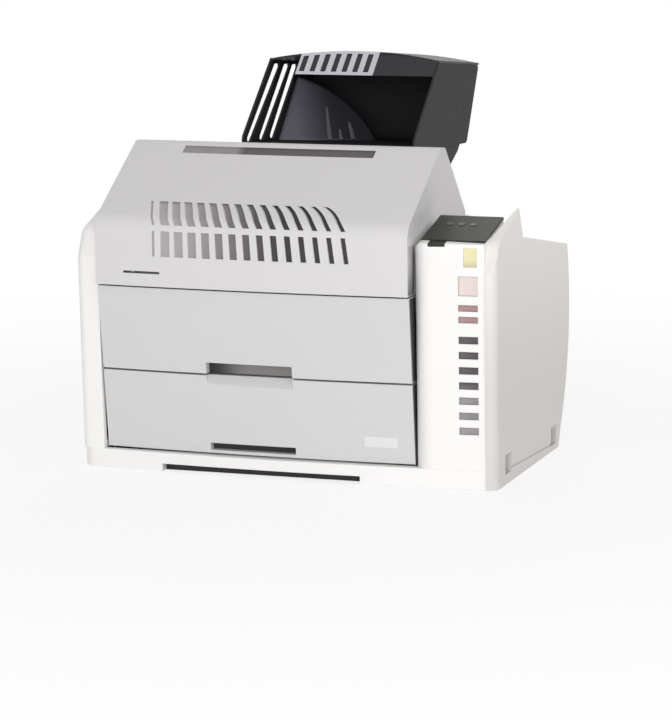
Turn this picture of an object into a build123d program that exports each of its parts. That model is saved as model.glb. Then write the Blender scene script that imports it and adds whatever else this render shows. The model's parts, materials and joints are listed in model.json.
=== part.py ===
"""Table-top medical film printer: two film drawers, a hinged top cover with a
grille, a control column at the right and a dark film output hood at the rear.

Millimetres. X to the right as seen from the front, Y to the back, Z up. The
origin lies on the table at the middle of the width. Y is measured from the
middle of the base, so the front is near Y = -255.
"""
from build123d import *
import math
import os

# Overall body
WIDTH = 728.0
BASE_FRONT_Y = -255.0
BASE_REAR_Y = 148.0
BOW_SAGITTA = 17.0
SKIN = 3.0
FRAME_T = 2.5

# Heights of the front, from the table up
BASE_H = 31.5
BASE_FLOOR = 4.0
SEAM = 3.0
LOWER_FRONT_H = 133.5
UPPER_FRONT_H = 141.4

# Front of the film block: set back at the base and leaning forward going up
FRONT_SETBACK = 14.0
FRONT_LEAN = 0.125
COVER_PROUD = 6.0

# Widths across the front
SIDE_COVER_T = 44.0
COLUMN_GAP = 3.0
COLUMN_WIDTH = 118.0
SIDE_PANEL_T = 19.0

# Base: finger slot for lifting, corner, pads
BASE_CORNER_R = 26.0
LIFT_SLOT_LEFT = 167.0
LIFT_SLOT_WIDTH = 349.0
LIFT_SLOT_H = 13.0
LIFT_SLOT_DEPTH = 22.0
PAD = 44.0
PAD_T = 2.5
PAD_INSET = 62.0
SEAT_CLEAR = 0.3

# Side covers with their fins, as points of the side view
SIDE_FRONT_LOW_Y = -241.0
SIDE_FRONT_TOP_Y = -254.0
SIDE_FRONT_R = 16.0
FIN_FRONT_Z = 356.0
FIN_KNEE_Y = -232.0
FIN_KNEE_Z = 405.0
FIN_KNEE_R = 30.0
FIN_PEAK_Y = -112.0
FIN_PEAK_Z = 446.0
FIN_PEAK_R = 3.0
FIN_FOOT_Y = -87.0
FIN_FOOT_Z = 395.0
FIN_FOOT_R = 6.0
FIN_EDGE_T = 3.0
FIN_EDGE_R = 2.0
FIN_BEVEL_RISE = 5.0
SIDE_REAR_TOP_Y = 200.0
SIDE_REAR_TOP_Z = 348.0
SIDE_REAR_MID_Y = 216.0
SIDE_REAR_MID_Z = 226.0
SIDE_REAR_LOW_Y = 160.0
NOTCH_W = 38.0
NOTCH_H = 32.0
NOTCH_DEPTH = 13.0
NOTCH_FRONT_Y = -172.0
NOTCH_FRONT_Z = 17.0
NOTCH_REAR_Y = 115.0
NOTCH_REAR_Z = 10.0
FOOT_LINE_H = 3.5
FOOT_LINE_DEPTH = 2.5
FOOT_LINE_RISE = 5.0

# Column at the right, with its row of slots, window and lamp
COLUMN_TOP_PROUD = 13.0
COLUMN_WALL = 14.0
COLUMN_EDGE_R = 20.0
COLUMN_TOP_R = 22.0
COLUMN_REAR_Y = -138.0
SLOT_INSET = 43.0
SLOT_WIDTH = 32.0
SLOT_H = 12.0
SLOT_LOW_Z = 90.5
SLOT_PITCH = 24.9
SLOT_COUNT = 7
PAIR_LOW_Z = 274.0
PAIR_H = 10.5
PAIR_PITCH = 19.0
WINDOW_Z0 = 318.0
WINDOW_H = 32.0
LAMP_INSET = 34.0
LAMP_WIDTH = 22.0
LAMP_Z0 = 365.0
LAMP_H = 31.0
FLANGE = 3.0

# Console on top of the column, sloping up to the rear
CONSOLE_FRONT_Z = 402.0
CONSOLE_SLOPE = 0.24
GLASS_T = 4.0
GLASS_MARGIN = 11.0
GLASS_FRONT_MARGIN = 6.0
TAB_INSET = 26.0
TAB_WIDTH = 28.0
TAB_DROP = 7.0
DISPLAY_INSET = 22.0
DISPLAY_WIDTH = 74.0
DISPLAY_U0 = 32.0
DISPLAY_DEPTH = 40.0
DISPLAY_T = 6.0
KEY_R = 6.0
KEY_PITCH = 20.0
KEY_U = 94.0
KEY_INSET = 38.0
KEY_COUNT = 3
KEY_CLEAR = 0.3
KEY_PROUD = 0.8
KEY_TRAVEL = 1.0

# Top cover as points of the side view, and its hinge
COVER_BAND_H = 108.6
COVER_BREAK_R = 34.0
RIDGE_Y = -100.0
RIDGE_Z = 537.0
RIDGE_R = 6.0
RIDGE_REAR_Y = -66.0
RIDGE_REAR_R = 14.0
REAR_KNEE_Y = 16.0
REAR_KNEE_Z = 454.0
FLANK_RISE_Y = -60.0
HINGE_Y = 40.0
HINGE_Z = 411.0
HINGE_PIN_R = 5.0
HINGE_BOSS_R = 11.0
HINGE_EAR = 8.0
HINGE_EAR_REAR = 7.0
HINGE_EAR_CUT = 4.0
PIN_CLEAR = 0.05
FLANK_GAP = 2.0
GRILLE_LEFT = 156.5
GRILLE_WIDTH = 336.0
GRILLE_COUNT = 14
GRILLE_LOW_Z0 = 366.0
GRILLE_LOW_Z1 = 408.0
GRILLE_TOP_Z0 = 418.0
GRILLE_TOP_Z1 = 452.0
GRILLE_WIDE = 16.0
GRILLE_NARROW = 8.0
GRILLE_LEAN_LEFT = 19.0
GRILLE_LEAN_RIGHT = 44.0
GRILLE_LEAN_LOW = 6.0
GRILLE_EDGE_GAP = 7.0
GRILLE_EDGE_W = 4.5
GRILLE_CUT_BACK = 80.0
GRILLE_BACK_T = 2.0
GRIP_LEFT = 175.0
GRIP_WIDTH = 340.0
GRIP_TOP = 9.0
GRIP_BAND = 20.0
GRIP_LIP = 2.0
GRIP_DEPTH = 2.0
DASH_INSET = 50.5
DASH_WIDTH = 66.0
DASH_Z = 338.5
DASH_H = 4.0
BUFFER_R = 8.0
BUFFER_H = 6.0
BUFFER_INSET = 50.0

# Rear deck behind the cover
DECK_FRONT_Y = 58.0
DECK_FRONT_Z = 410.0
DECK_SLOPE = 0.165
DECK_REAR_Y = 196.0
DECK_R = 10.0
DECK_DROP = 2.0

# Output hood, as points of the side view
HOOD_LEFT = 157.0
HOOD_WIDTH = 318.0
HOOD_WALL = 4.0
HOOD_FRONT_LOW_Y = 97.0
HOOD_FRONT_LOW_Z = 508.0
HOOD_FRONT_TOP_Y = 265.0
HOOD_TOP_FRONT_Z = 655.0
HOOD_REAR_TOP_Y = 514.0
HOOD_TOP_REAR_Z = 634.0
HOOD_REAR_LOW_Y = 437.0
HOOD_REAR_LOW_Z = 494.0
HOOD_CORNER_R = 14.0
HOOD_DOME = 15.0
HOOD_TOP_T = 4.0
HOOD_HEADER = 22.0
HOOD_SLOT_LOW_W = 26.0
HOOD_SLOT_HIGH_W = 36.0
HOOD_SLOT_LOW_OFFSETS = (44.0, 108.0, 163.0)
HOOD_SLOT_HIGH_OFFSETS = (34.0, 85.0, 128.0)
HOOD_SLOT_FOOT = 10.0
HOOD_SLOT_HEAD = 5.0
HOOD_SLOT_R = 5.0
BAND_INSET = 58.0
BAND_WIDTH = 145.0
BAND_SLOTS = 7
BAND_SLOT_W = 10.0
BAND_T = 1.5
BAND_RIM = 5.0
REST_FOOT_Y = 290.6
REST_LEAN_DEG = 45.0
REST_WIDTH = 170.0
REST_BEND = 40.0
REST_MID_X = 93.5
REST_MID_BEND = 12.0
REST_T = 2.5
REST_TOP_Z = 612.0
REST_BULGE = 14.0
NECK_INSET = 2.0
NECK_FRONT_Y = 74.0
NECK_FOOT_REAR_Y = 178.0
NECK_KNEE_Y = 386.0
NECK_KNEE_Z = 484.0
FILM_SLOT = 18.0

# Drawers and their runners
FINGER_LEFT = 83.0
FINGER_WIDTH = 151.0
FINGER_H = 22.0
FINGER_DEPTH = 18.0
LIP_H = 16.0
LOWER_FINGER_Z = 40.0
LOWER_FINGER_H = 12.0
FRONT_SKIN = 3.0
LINER_T = 2.0
TRAY_FRONT_Y = -222.0
TRAY_REAR_Y = 124.0
TRAY_WALL = 2.5
TRAY_H = 38.0
TRAY_REAR_H = 20.0
TRAY_SIDE_GAP = 1.5
RAIL_W = 12.0
RAIL_Z = 6.0
RAIL_H = 6.0
RUN_CLEAR = 0.3
LIFT_PIVOT_Y = -196.0
LIFT_REAR_Y = 40.0
LIFT_T = 2.0
LIFT_PIN_R = 2.5
LABEL_INSET = 84.0
LABEL_WIDTH = 56.0
LABEL_Z0 = 61.0
LABEL_H = 18.0
LABEL_T = 1.0

# Print engine
PLATEN_Y = -60.0
PLATEN_R = 20.0
PLATEN_LENGTH = 380.0
SHAFT_R = 6.0
PLATEN_SHAFT_SET = 2.8
GEAR_MODULE = 1.5
GEAR_TEETH = 24
PINION_TEETH = 12
GEAR_W = 10.0
GEAR_INSET = 26.5
MOTOR_Y = -76.0
MOTOR_R = 19.0
MOTOR_LENGTH = 44.0
MOTOR_SHAFT_R = 3.0
SMALL_MOTOR_R = 14.0
SMALL_MOTOR_LENGTH = 36.0
HEAD_DEPTH = 70.0
HEAD_H = 9.0
FIN_H = 22.0
FIN_COUNT = 8
HEAD_NIP = 0.3
EXIT_Y = 84.0
EXIT_Z = 374.0
EXIT_R = 12.0
PICK_R = 18.0
PICK_Y = 16.0
PICK_LENGTH = 60.0
PICK_SHAFT_R = 4.0
FILM_STACK_H = 31.0
BAR_H = 12.0
BAR_DEPTH = 36.0
FRONT_BAR_Y = -214.0
BRACKET_T = 12.0
BEARING_R = 12.0
BEARING_T = 6.0
GUIDE_T = 2.0
GUIDE_Y = 132.0
GUIDE_TOP_Z = 360.0
GUIDE_R = 24.0

# Column electronics and rear panel
FAN_SIZE = 92.0
FAN_T = 25.0
FAN_INSET = 58.0
FAN_Z = 232.0
FAN_Y = 128.0
FAN_BLADES = 7
FAN_HUB_R = 18.0
FAN_PIN_R = 4.0
SUPPLY_H = 110.0
SUPPLY_LENGTH = 210.0
BOARD_T = 2.0
BOARD_STANDOFF = 6.0
BOARD_MARGIN = 20.0
BOARD_LIFT = 25.0
STANDOFF_R = 3.0
STANDOFF_INSET = 8.0
CHIP_SIZE = 34.0
CHIP_H = 5.0
CHIP_SHARES = ((0.2, 0.3), (0.55, 0.25), (0.85, 0.35), (0.3, 0.72), (0.68, 0.7))
SOCKET_PANEL_Y = 206.0
SOCKET_PANEL_OVERHANG = 6.0
SOCKET_PANEL_WIDTH = 106.0
SOCKET_PANEL_Z0 = 56.0
SOCKET_PANEL_H = 56.0
INLET_W = 48.0
INLET_H = 28.0
SWITCH_W = 28.0
SWITCH_H = 22.0
NET_W = 17.0
NET_H = 15.0
NET_RISE = 30.0
NET_DEPTH = 16.0
NET_CAVITY_W = 12.0
NET_CAVITY_H = 9.0
INLET_DEPTH = 24.0
INLET_CAVITY_W = 27.0
INLET_CAVITY_H = 19.0
SOCKET_FLANGE = 2.0
SOCKET_RIM = 2.5
SOCKET_GAP = 10.0
BLADE_PITCH = 7.0
BLADE_LENGTH = 12.0
LUG_T = 4.0
LUG_DEPTH = 12.0
ROCKER_BACK = 5.5
ROCKER_HALF_H = 8.8
ROCKER_PIN_R = 1.5
ROCKER_SET_IN = 4.0
ROCKER_DEG = 9.0
SCREW_R = 4.0
SCREW_HEAD = 2.0
VENT_W = 5.0
VENT_PITCH = 10.0
VENT_COUNT = 11
VENT_H = 50.0

# Values worked out from the sizes above
HALF = WIDTH / 2
BOW_R = (HALF ** 2 + BOW_SAGITTA ** 2) / (2 * BOW_SAGITTA)
BOW_CENTRE_Y = BASE_FRONT_Y + BOW_R
BLOCK_X0 = -HALF + SIDE_COVER_T
COLUMN_X1 = HALF - SIDE_PANEL_T
COLUMN_X0 = COLUMN_X1 - COLUMN_WIDTH
BLOCK_X1 = COLUMN_X0 - COLUMN_GAP
BLOCK_MID = (BLOCK_X0 + BLOCK_X1) / 2
LOWER_Z0 = BASE_H + SEAM
LOWER_Z1 = LOWER_Z0 + LOWER_FRONT_H
UPPER_Z0 = LOWER_Z1 + SEAM
UPPER_Z1 = UPPER_Z0 + UPPER_FRONT_H
COVER_Z0 = UPPER_Z1 + SEAM
COVER_BAND_Z = COVER_Z0 + COVER_BAND_H
PLATE_X0 = BLOCK_X0 + SKIN + FLANK_GAP
PLATE_X1 = BLOCK_X1 - SKIN - FLANK_GAP
INNER_X0 = PLATE_X0 + FRAME_T
INNER_X1 = PLATE_X1 - FRAME_T
TRAY_X0 = INNER_X0 + TRAY_SIDE_GAP
TRAY_X1 = INNER_X1 - TRAY_SIDE_GAP
HOOD_X0 = BLOCK_MID - HOOD_LEFT
HOOD_X1 = HOOD_X0 + HOOD_WIDTH
BAND_X0 = HOOD_X0 + BAND_INSET
LIFT_SLOT_X0 = BLOCK_MID - LIFT_SLOT_LEFT
LIFT_SLOT_X1 = LIFT_SLOT_X0 + LIFT_SLOT_WIDTH
GRILLE_X0 = BLOCK_MID - GRILLE_LEFT
GRIP_X0 = BLOCK_MID - GRIP_LEFT
DASH_X0 = BLOCK_X0 + DASH_INSET
FINGER_X0 = BLOCK_MID - FINGER_LEFT
LABEL_X0 = BLOCK_X1 - LABEL_INSET
GEAR_X0 = INNER_X1 - GEAR_INSET
SLOT_X0 = COLUMN_X1 - SLOT_INSET
LAMP_X0 = COLUMN_X1 - LAMP_INSET
DISPLAY_X0 = COLUMN_X0 + DISPLAY_INSET
TAB_X0 = COLUMN_X0 + TAB_INSET
KEY_FIRST_X = COLUMN_X0 + KEY_INSET
FAN_X = COLUMN_X0 + FAN_INSET
SOCKET_PANEL_X0 = COLUMN_X0 - SOCKET_PANEL_OVERHANG
GEAR_GAP = GEAR_MODULE * (GEAR_TEETH + PINION_TEETH) / 2
BAR_Z = COVER_Z0 + 4
MOTOR_Z = BAR_Z + BAR_H + MOTOR_R + 3
PLATEN_Z = MOTOR_Z + math.sqrt(GEAR_GAP ** 2 - (PLATEN_Y - MOTOR_Y) ** 2)
CONSOLE_TILT = math.degrees(math.atan(CONSOLE_SLOPE))


# Working shapes
def box(x0, x1, y0, y1, z0, z1):
    return Pos((x0 + x1) / 2, (y0 + y1) / 2, (z0 + z1) / 2) * Box(x1 - x0, y1 - y0, z1 - z0)


def outline(points, radii=None):
    """Closed outline of straight runs, with a fillet radius for each point."""
    if radii is None:
        return make_face(Polyline(*points, close=True))
    return make_face(FilletPolyline(*points, radius=radii, close=True))


def prism_x(points, x0, x1, radii=None):
    """Side view outline in (y, z), carried from x0 to x1."""
    return extrude(Plane.YZ.offset(x0) * outline(points, radii), x1 - x0)


def rod_x(x0, x1, y, z, r):
    return Pos((x0 + x1) / 2, y, z) * Rot(0, 90, 0) * Cylinder(r, x1 - x0)


def rod_y(x, y0, y1, z, r):
    return Pos(x, (y0 + y1) / 2, z) * Rot(90, 0, 0) * Cylinder(r, y1 - y0)


def bowed(points, x0, x1, radii=None):
    """Side view outline swept round the bow's centre and trimmed to x0..x1."""
    sweep_deg = 14.0
    axis = Axis((0, BOW_CENTRE_Y, 0), (0, 0, 1))
    face = (Plane.YZ * outline(points, radii)).rotate(axis, -sweep_deg / 2)
    ring = revolve(face, axis, sweep_deg)
    return ring & box(x0, x1, -2 * WIDTH, 2 * WIDTH, -WIDTH, 2 * WIDTH)


def bow_offset(x):
    """How far the bowed front falls back from its middle at x."""
    return BOW_R - math.sqrt(BOW_R ** 2 - x ** 2)


def front_y(z):
    """Middle of the film block's leaning front at height z."""
    return BASE_FRONT_Y + FRONT_SETBACK - FRONT_LEAN * (z - BASE_H)


def deck_z(y):
    return DECK_FRONT_Z - DECK_SLOPE * (y - DECK_FRONT_Y)


def gear_x(teeth, x0, x1, y, z, bore_r, phase_deg):
    """Spur gear about X, with slim straight-sided teeth so that a pair runs free."""
    pitch_r = GEAR_MODULE * teeth / 2
    root_r = pitch_r - 1.3 * GEAR_MODULE
    tip_r = pitch_r + 0.9 * GEAR_MODULE
    step = 2 * math.pi / teeth
    corners = []
    for i in range(teeth):
        a = math.radians(phase_deg) + i * step
        for radius, share in ((root_r, -0.28), (tip_r, -0.10), (tip_r, 0.10), (root_r, 0.28)):
            corners.append((y + radius * math.cos(a + share * step), z + radius * math.sin(a + share * step)))
    return prism_x(corners, x0, x1) - rod_x(x0 - 1, x1 + 1, y, z, bore_r)


# Base
def pad_places():
    xs = (-HALF + PAD_INSET, COLUMN_X1 - PAD_INSET)
    ys = (BASE_FRONT_Y + PAD_INSET, BASE_REAR_Y - PAD_INSET)
    return [(x, y) for x in xs for y in ys]


def make_base_pan():
    left, right = -HALF, COLUMN_X1
    pan = bowed([(BASE_FRONT_Y, 0), (0, 0), (0, BASE_H), (BASE_FRONT_Y, BASE_H)], left, right)
    pan = pan + box(left, right, -1, BASE_REAR_Y, 0, BASE_H)
    front_left = pan.edges().filter_by(Axis.Z).sort_by(lambda e: e.center().X + e.center().Y)[0]
    pan = fillet(front_left, BASE_CORNER_R)
    wall = SKIN + 1
    rear_of_slot = BASE_FRONT_Y + LIFT_SLOT_DEPTH + wall
    pan = pan - box(left + wall, right - wall, rear_of_slot, BASE_REAR_Y - wall, BASE_FLOOR, BASE_H + 1)
    pan = pan - box(LIFT_SLOT_X0, LIFT_SLOT_X1, BASE_FRONT_Y - 5, BASE_FRONT_Y + LIFT_SLOT_DEPTH,
                    -1, LIFT_SLOT_H)
    for x, y in pad_places():
        pan = pan - box(x - PAD / 2, x + PAD / 2, y - PAD / 2, y + PAD / 2, -1, PAD_T)
    return pan


def make_foot_pads():
    half = PAD / 2 - SEAT_CLEAR
    return [box(x - half, x + half, y - half, y + half, 0, PAD_T) for x, y in pad_places()]


# Side covers
def side_outline(z_low, inset=0.0):
    """Side view of a side cover: leaning front, fin with its peak, rear barrel."""
    front_low = SIDE_FRONT_LOW_Y + inset
    front_top = SIDE_FRONT_TOP_Y + inset
    upper = FilletPolyline(
        (front_low, z_low),
        (front_top, FIN_FRONT_Z),
        (FIN_KNEE_Y + inset, FIN_KNEE_Z - inset),
        (FIN_PEAK_Y, FIN_PEAK_Z - inset),
        (FIN_FOOT_Y - inset, FIN_FOOT_Z - inset),
        (SIDE_REAR_TOP_Y - inset, SIDE_REAR_TOP_Z - inset),
        radius=(FIN_KNEE_R, FIN_KNEE_R, FIN_PEAK_R, FIN_FOOT_R),
    )
    rear_top = (SIDE_REAR_TOP_Y - inset, SIDE_REAR_TOP_Z - inset)
    rear_low = (SIDE_REAR_LOW_Y - inset, BASE_H + inset)
    barrel = ThreePointArc(rear_top, (SIDE_REAR_MID_Y - inset, SIDE_REAR_MID_Z), rear_low)
    foot = (BASE_REAR_Y - inset, z_low)
    if z_low > BASE_H:
        foot = rear_low
        return make_face([upper, barrel, Line(rear_low, (front_low, z_low))])
    return make_face([upper, barrel, Line(rear_low, foot), Line(foot, (front_low, z_low))])


def round_front(slab, face_x):
    """Rounds the outer front edge of a side cover, from its foot to its knee."""
    edges = slab.edges().filter_by(lambda e: abs(e.center().X - face_x) < 0.1)
    front = [e for e in edges if e.center().Y < FIN_KNEE_Y + 60 and e.center().Z > BASE_H]
    return fillet([e for e in front if e.center().Z < FIN_PEAK_Z - 10], SIDE_FRONT_R)


def straight_edged(points, edge, radius):
    """Slab of the right side cover's thickness with one outer edge rounded, to cut its outline from."""
    slab = prism_x(points, COLUMN_X1, HALF)
    outer = slab.edges().filter_by(lambda e: abs(e.center().X - HALF) < 0.1)
    return fillet(outer.sort_by_distance((HALF, edge[0], edge[1]))[0], radius)


def fin_bevel():
    """Space inside the fin's slanting inner face, from the fin's inner foot line up to its outer peak."""
    front = Vector(COLUMN_X1, FIN_KNEE_Y, FIN_KNEE_Z)
    rear = Vector(COLUMN_X1, FIN_FOOT_Y, FIN_FOOT_Z + FIN_BEVEL_RISE)
    peak = Vector(HALF - FIN_EDGE_T, FIN_PEAK_Y, FIN_PEAK_Z)
    slant = Plane(origin=(front + rear) / 2, z_dir=(peak - front).cross(rear - front))
    return slant * Box(WIDTH, WIDTH, WIDTH, align=(Align.CENTER, Align.CENTER, Align.MIN))


def make_right_side_cover():
    lean = (SIDE_FRONT_TOP_Y - SIDE_FRONT_LOW_Y) / FIN_FRONT_Z
    over_y = SIDE_FRONT_LOW_Y + lean * WIDTH
    slab = straight_edged([(SIDE_FRONT_LOW_Y, 0), (over_y, WIDTH), (WIDTH, WIDTH), (WIDTH, 0)],
                          ((SIDE_FRONT_LOW_Y + over_y) / 2, WIDTH / 2), SIDE_FRONT_R)
    rise = (FIN_PEAK_Z - FIN_KNEE_Z) / (FIN_PEAK_Y - FIN_KNEE_Y)
    edge_z0 = FIN_PEAK_Z - rise * (WIDTH + FIN_PEAK_Y)
    edge_z1 = FIN_PEAK_Z + rise * (WIDTH - FIN_PEAK_Y)
    slab = slab & straight_edged([(-WIDTH, -WIDTH), (-WIDTH, edge_z0), (WIDTH, edge_z1), (WIDTH, -WIDTH)],
                                 (0, (edge_z0 + edge_z1) / 2), FIN_EDGE_R)
    slab = slab & extrude(Plane.YZ.offset(COLUMN_X1) * side_outline(0), SIDE_PANEL_T)
    wall = SIDE_FRONT_R - 4
    hollow = extrude(Plane.YZ.offset(COLUMN_X1 - 1) * side_outline(BASE_H + 2 * wall, wall),
                     SIDE_PANEL_T - SKIN + 1)
    hollow = hollow - box(0, WIDTH, -WIDTH, WIDTH, FIN_FOOT_Z - wall, WIDTH)
    slab = slab - fin_bevel()
    slab = slab - hollow
    y0, y1 = NOTCH_FRONT_Y + NOTCH_W / 2 - 1, NOTCH_REAR_Y - NOTCH_W / 2 + 1
    z0, z1 = NOTCH_FRONT_Z + FOOT_LINE_RISE, NOTCH_REAR_Z + 1
    slab = slab - prism_x([(y0, z0), (y0, z0 + FOOT_LINE_H), (y1, z1 + FOOT_LINE_H), (y1, z1)],
                          HALF - FOOT_LINE_DEPTH, HALF + 1)
    for y, z in ((NOTCH_FRONT_Y, NOTCH_FRONT_Z), (NOTCH_REAR_Y, NOTCH_REAR_Z)):
        slab = slab - box(HALF - NOTCH_DEPTH, HALF + 1, y - NOTCH_W / 2, y + NOTCH_W / 2, z, z + NOTCH_H)
    return slab


def make_left_side_cover():
    depth = SIDE_COVER_T - SEAM
    slab = extrude(Plane.YZ.offset(-HALF) * side_outline(BASE_H), depth)
    slab = round_front(slab, -HALF)
    wall = SIDE_FRONT_R - 4
    hollow = extrude(Plane.YZ.offset(-HALF + SKIN) * side_outline(BASE_H + wall, wall), depth)
    return slab - hollow


# Column and console
def column_front_y(z):
    """Middle of the column's bowed front at height z, if it ran to the middle."""
    return BASE_FRONT_Y - COLUMN_TOP_PROUD * (z - BASE_H) / (CONSOLE_FRONT_Z - BASE_H)


def console_z(y):
    return CONSOLE_FRONT_Z + CONSOLE_SLOPE * (y - column_front_y(CONSOLE_FRONT_Z))


COLUMN_INNER_Y = BASE_FRONT_Y + bow_offset(HALF) + COLUMN_WALL
CONSOLE_U0 = column_front_y(CONSOLE_FRONT_Z)


def column_openings():
    """Low and high Z of each slot from the bottom up, then the pair above, with the tall window last."""
    lows = [SLOT_LOW_Z + i * SLOT_PITCH for i in range(SLOT_COUNT)]
    slots = [(z, z + SLOT_H) for z in lows]
    pair = [(z, z + PAIR_H) for z in (PAIR_LOW_Z, PAIR_LOW_Z + PAIR_PITCH)]
    return slots + pair + [(WINDOW_Z0, WINDOW_Z0 + WINDOW_H)]


def on_console(shape):
    """Lays a shape on the console: its Y runs up the slope from the front, its Z is height."""
    return Pos(0, CONSOLE_U0, CONSOLE_FRONT_Z) * Rot(CONSOLE_TILT, 0, 0) * shape


def console_block(x0, x1, u0, u1, w0, w1):
    return on_console(box(x0, x1, u0, u1, w0, w1))


def console_rod(x, u, w0, w1, r):
    return on_console(Pos(x, u, (w0 + w1) / 2) * Cylinder(r, w1 - w0))


def glass_limits():
    """Depth limits of the glass along the slope, from its front margin to the rear."""
    scale = math.sqrt(1 + CONSOLE_SLOPE ** 2)
    front = (bow_offset(COLUMN_X1) + GLASS_FRONT_MARGIN) * scale
    return front, (COLUMN_REAR_Y - CONSOLE_U0) * scale


def column_form():
    """Outer form of the column, rounded down its left front edge and along its left top edge."""
    top_y = column_front_y(CONSOLE_FRONT_Z)
    body = bowed([
        (BASE_FRONT_Y, BASE_H),
        (top_y, CONSOLE_FRONT_Z),
        (COLUMN_REAR_Y + bow_offset(COLUMN_X1), console_z(COLUMN_REAR_Y + bow_offset(COLUMN_X1))),
        (COLUMN_REAR_Y + bow_offset(COLUMN_X1), BASE_H),
    ], COLUMN_X0, COLUMN_X1)
    body = body - box(COLUMN_X0 - 1, COLUMN_X1 + 1, COLUMN_REAR_Y, COLUMN_REAR_Y + 60, 0, 2 * CONSOLE_FRONT_Z)
    edges = body.edges().filter_by(lambda e: abs(e.center().X - COLUMN_X0) < 0.5)
    body = fillet(edges.sort_by(Axis.Y)[0], COLUMN_EDGE_R)
    corner = console_block(COLUMN_X0 - 1, COLUMN_X0 + COLUMN_TOP_R, -60, 2 * WIDTH, -COLUMN_TOP_R, 60)
    place = Pos(COLUMN_X0 + COLUMN_TOP_R, 0, -COLUMN_TOP_R) * Rot(90, 0, 0)
    rounding = place * Cylinder(COLUMN_TOP_R, 4 * WIDTH)
    return body - (corner - on_console(rounding))


def console_tab(u1):
    """Low tab of the console glass, let into the column's front edge."""
    return console_block(TAB_X0, TAB_X0 + TAB_WIDTH, -60, u1, -TAB_DROP, 0)


def make_column_front():
    body = column_form()
    body = body - box(COLUMN_X0 + SKIN, COLUMN_X1 - SKIN, COLUMN_INNER_Y, COLUMN_REAR_Y + 1,
                      BASE_H - 1, CONSOLE_FRONT_Z - GLASS_T - DISPLAY_T - SKIN - 2)
    front, rear = BASE_FRONT_Y - 2 * COLUMN_TOP_PROUD, COLUMN_INNER_Y + 1
    for z0, z1 in column_openings():
        body = body - box(SLOT_X0, SLOT_X0 + SLOT_WIDTH, front, rear, z0, z1)
    body = body - box(LAMP_X0, LAMP_X0 + LAMP_WIDTH, front, rear, LAMP_Z0, LAMP_Z0 + LAMP_H)
    glass_front, glass_rear = glass_limits()
    body = body - console_block(COLUMN_X0 + GLASS_MARGIN, COLUMN_X1 + 1, glass_front, 2 * glass_rear,
                                -GLASS_T, 60)
    body = body - console_tab(glass_front + 1)
    body = body - console_block(DISPLAY_X0, DISPLAY_X0 + DISPLAY_WIDTH, DISPLAY_U0,
                                DISPLAY_U0 + DISPLAY_DEPTH, -GLASS_T - DISPLAY_T, 0)
    return body


def key_places():
    return [KEY_FIRST_X + i * KEY_PITCH for i in range(KEY_COUNT)]


def make_console_glass():
    front, rear = glass_limits()
    sheet = console_block(COLUMN_X0 + GLASS_MARGIN, COLUMN_X1, front, rear, -GLASS_T, 0)
    sheet = sheet + (console_tab(front + 1) & column_form())
    for x in key_places():
        sheet = sheet - console_rod(x, KEY_U, -GLASS_T - 1, 1, KEY_R + KEY_CLEAR)
    return sheet


def make_key(x):
    return console_rod(x, KEY_U, -GLASS_T + KEY_TRAVEL + KEY_CLEAR, KEY_PROUD, KEY_R)


def make_display():
    return console_block(DISPLAY_X0, DISPLAY_X0 + DISPLAY_WIDTH, DISPLAY_U0, DISPLAY_U0 + DISPLAY_DEPTH,
                         -GLASS_T - DISPLAY_T, -GLASS_T)


def make_vent_backing():
    openings = column_openings()
    return box(SLOT_X0 - 6, SLOT_X0 + SLOT_WIDTH + 6, COLUMN_INNER_Y, COLUMN_INNER_Y + FLANGE,
               openings[0][0] - 8, openings[-1][1] + 6)


def make_status_lamp():
    lens_front = column_front_y(LAMP_Z0) + bow_offset(LAMP_X0 + LAMP_WIDTH) + 1
    lens = box(LAMP_X0 + SEAT_CLEAR, LAMP_X0 + LAMP_WIDTH - SEAT_CLEAR, lens_front, COLUMN_INNER_Y,
               LAMP_Z0 + SEAT_CLEAR, LAMP_Z0 + LAMP_H - SEAT_CLEAR)
    plate_top = min(LAMP_Z0 + LAMP_H + FLANGE, CONSOLE_FRONT_Z - GLASS_T - DISPLAY_T - SKIN - 3)
    plate = box(LAMP_X0 - FLANGE, LAMP_X0 + LAMP_WIDTH + FLANGE, COLUMN_INNER_Y, COLUMN_INNER_Y + FLANGE,
                LAMP_Z0 - FLANGE, plate_top)
    return lens + plate


# Top cover
COVER_FRONT_Y = front_y(UPPER_Z1) - COVER_PROUD
COVER_RISE = (RIDGE_Z - COVER_BAND_Z) / (RIDGE_Y - COVER_FRONT_Y)
COVER_STRETCH = math.sqrt(1 + COVER_RISE ** 2)
RIDGE_JOIN_Y = RIDGE_Y + bow_offset(HALF)


def cover_front_outline(depth):
    """Band, slope and ridge of the cover, moved inwards by depth, as far as the ridge's rear."""
    break_z = COVER_BAND_Z + depth * (COVER_RISE - COVER_STRETCH)
    ridge_y = RIDGE_Y + depth * (COVER_STRETCH - 1) / COVER_RISE
    points = [
        (COVER_FRONT_Y + depth, COVER_Z0 - depth),
        (COVER_FRONT_Y + depth, break_z),
        (ridge_y, RIDGE_Z - depth),
        (RIDGE_JOIN_Y, RIDGE_Z - depth),
        (RIDGE_JOIN_Y, COVER_Z0 - depth),
    ]
    return points, (0, COVER_BREAK_R - depth, RIDGE_R - depth / 2, 0, 0)


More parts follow.
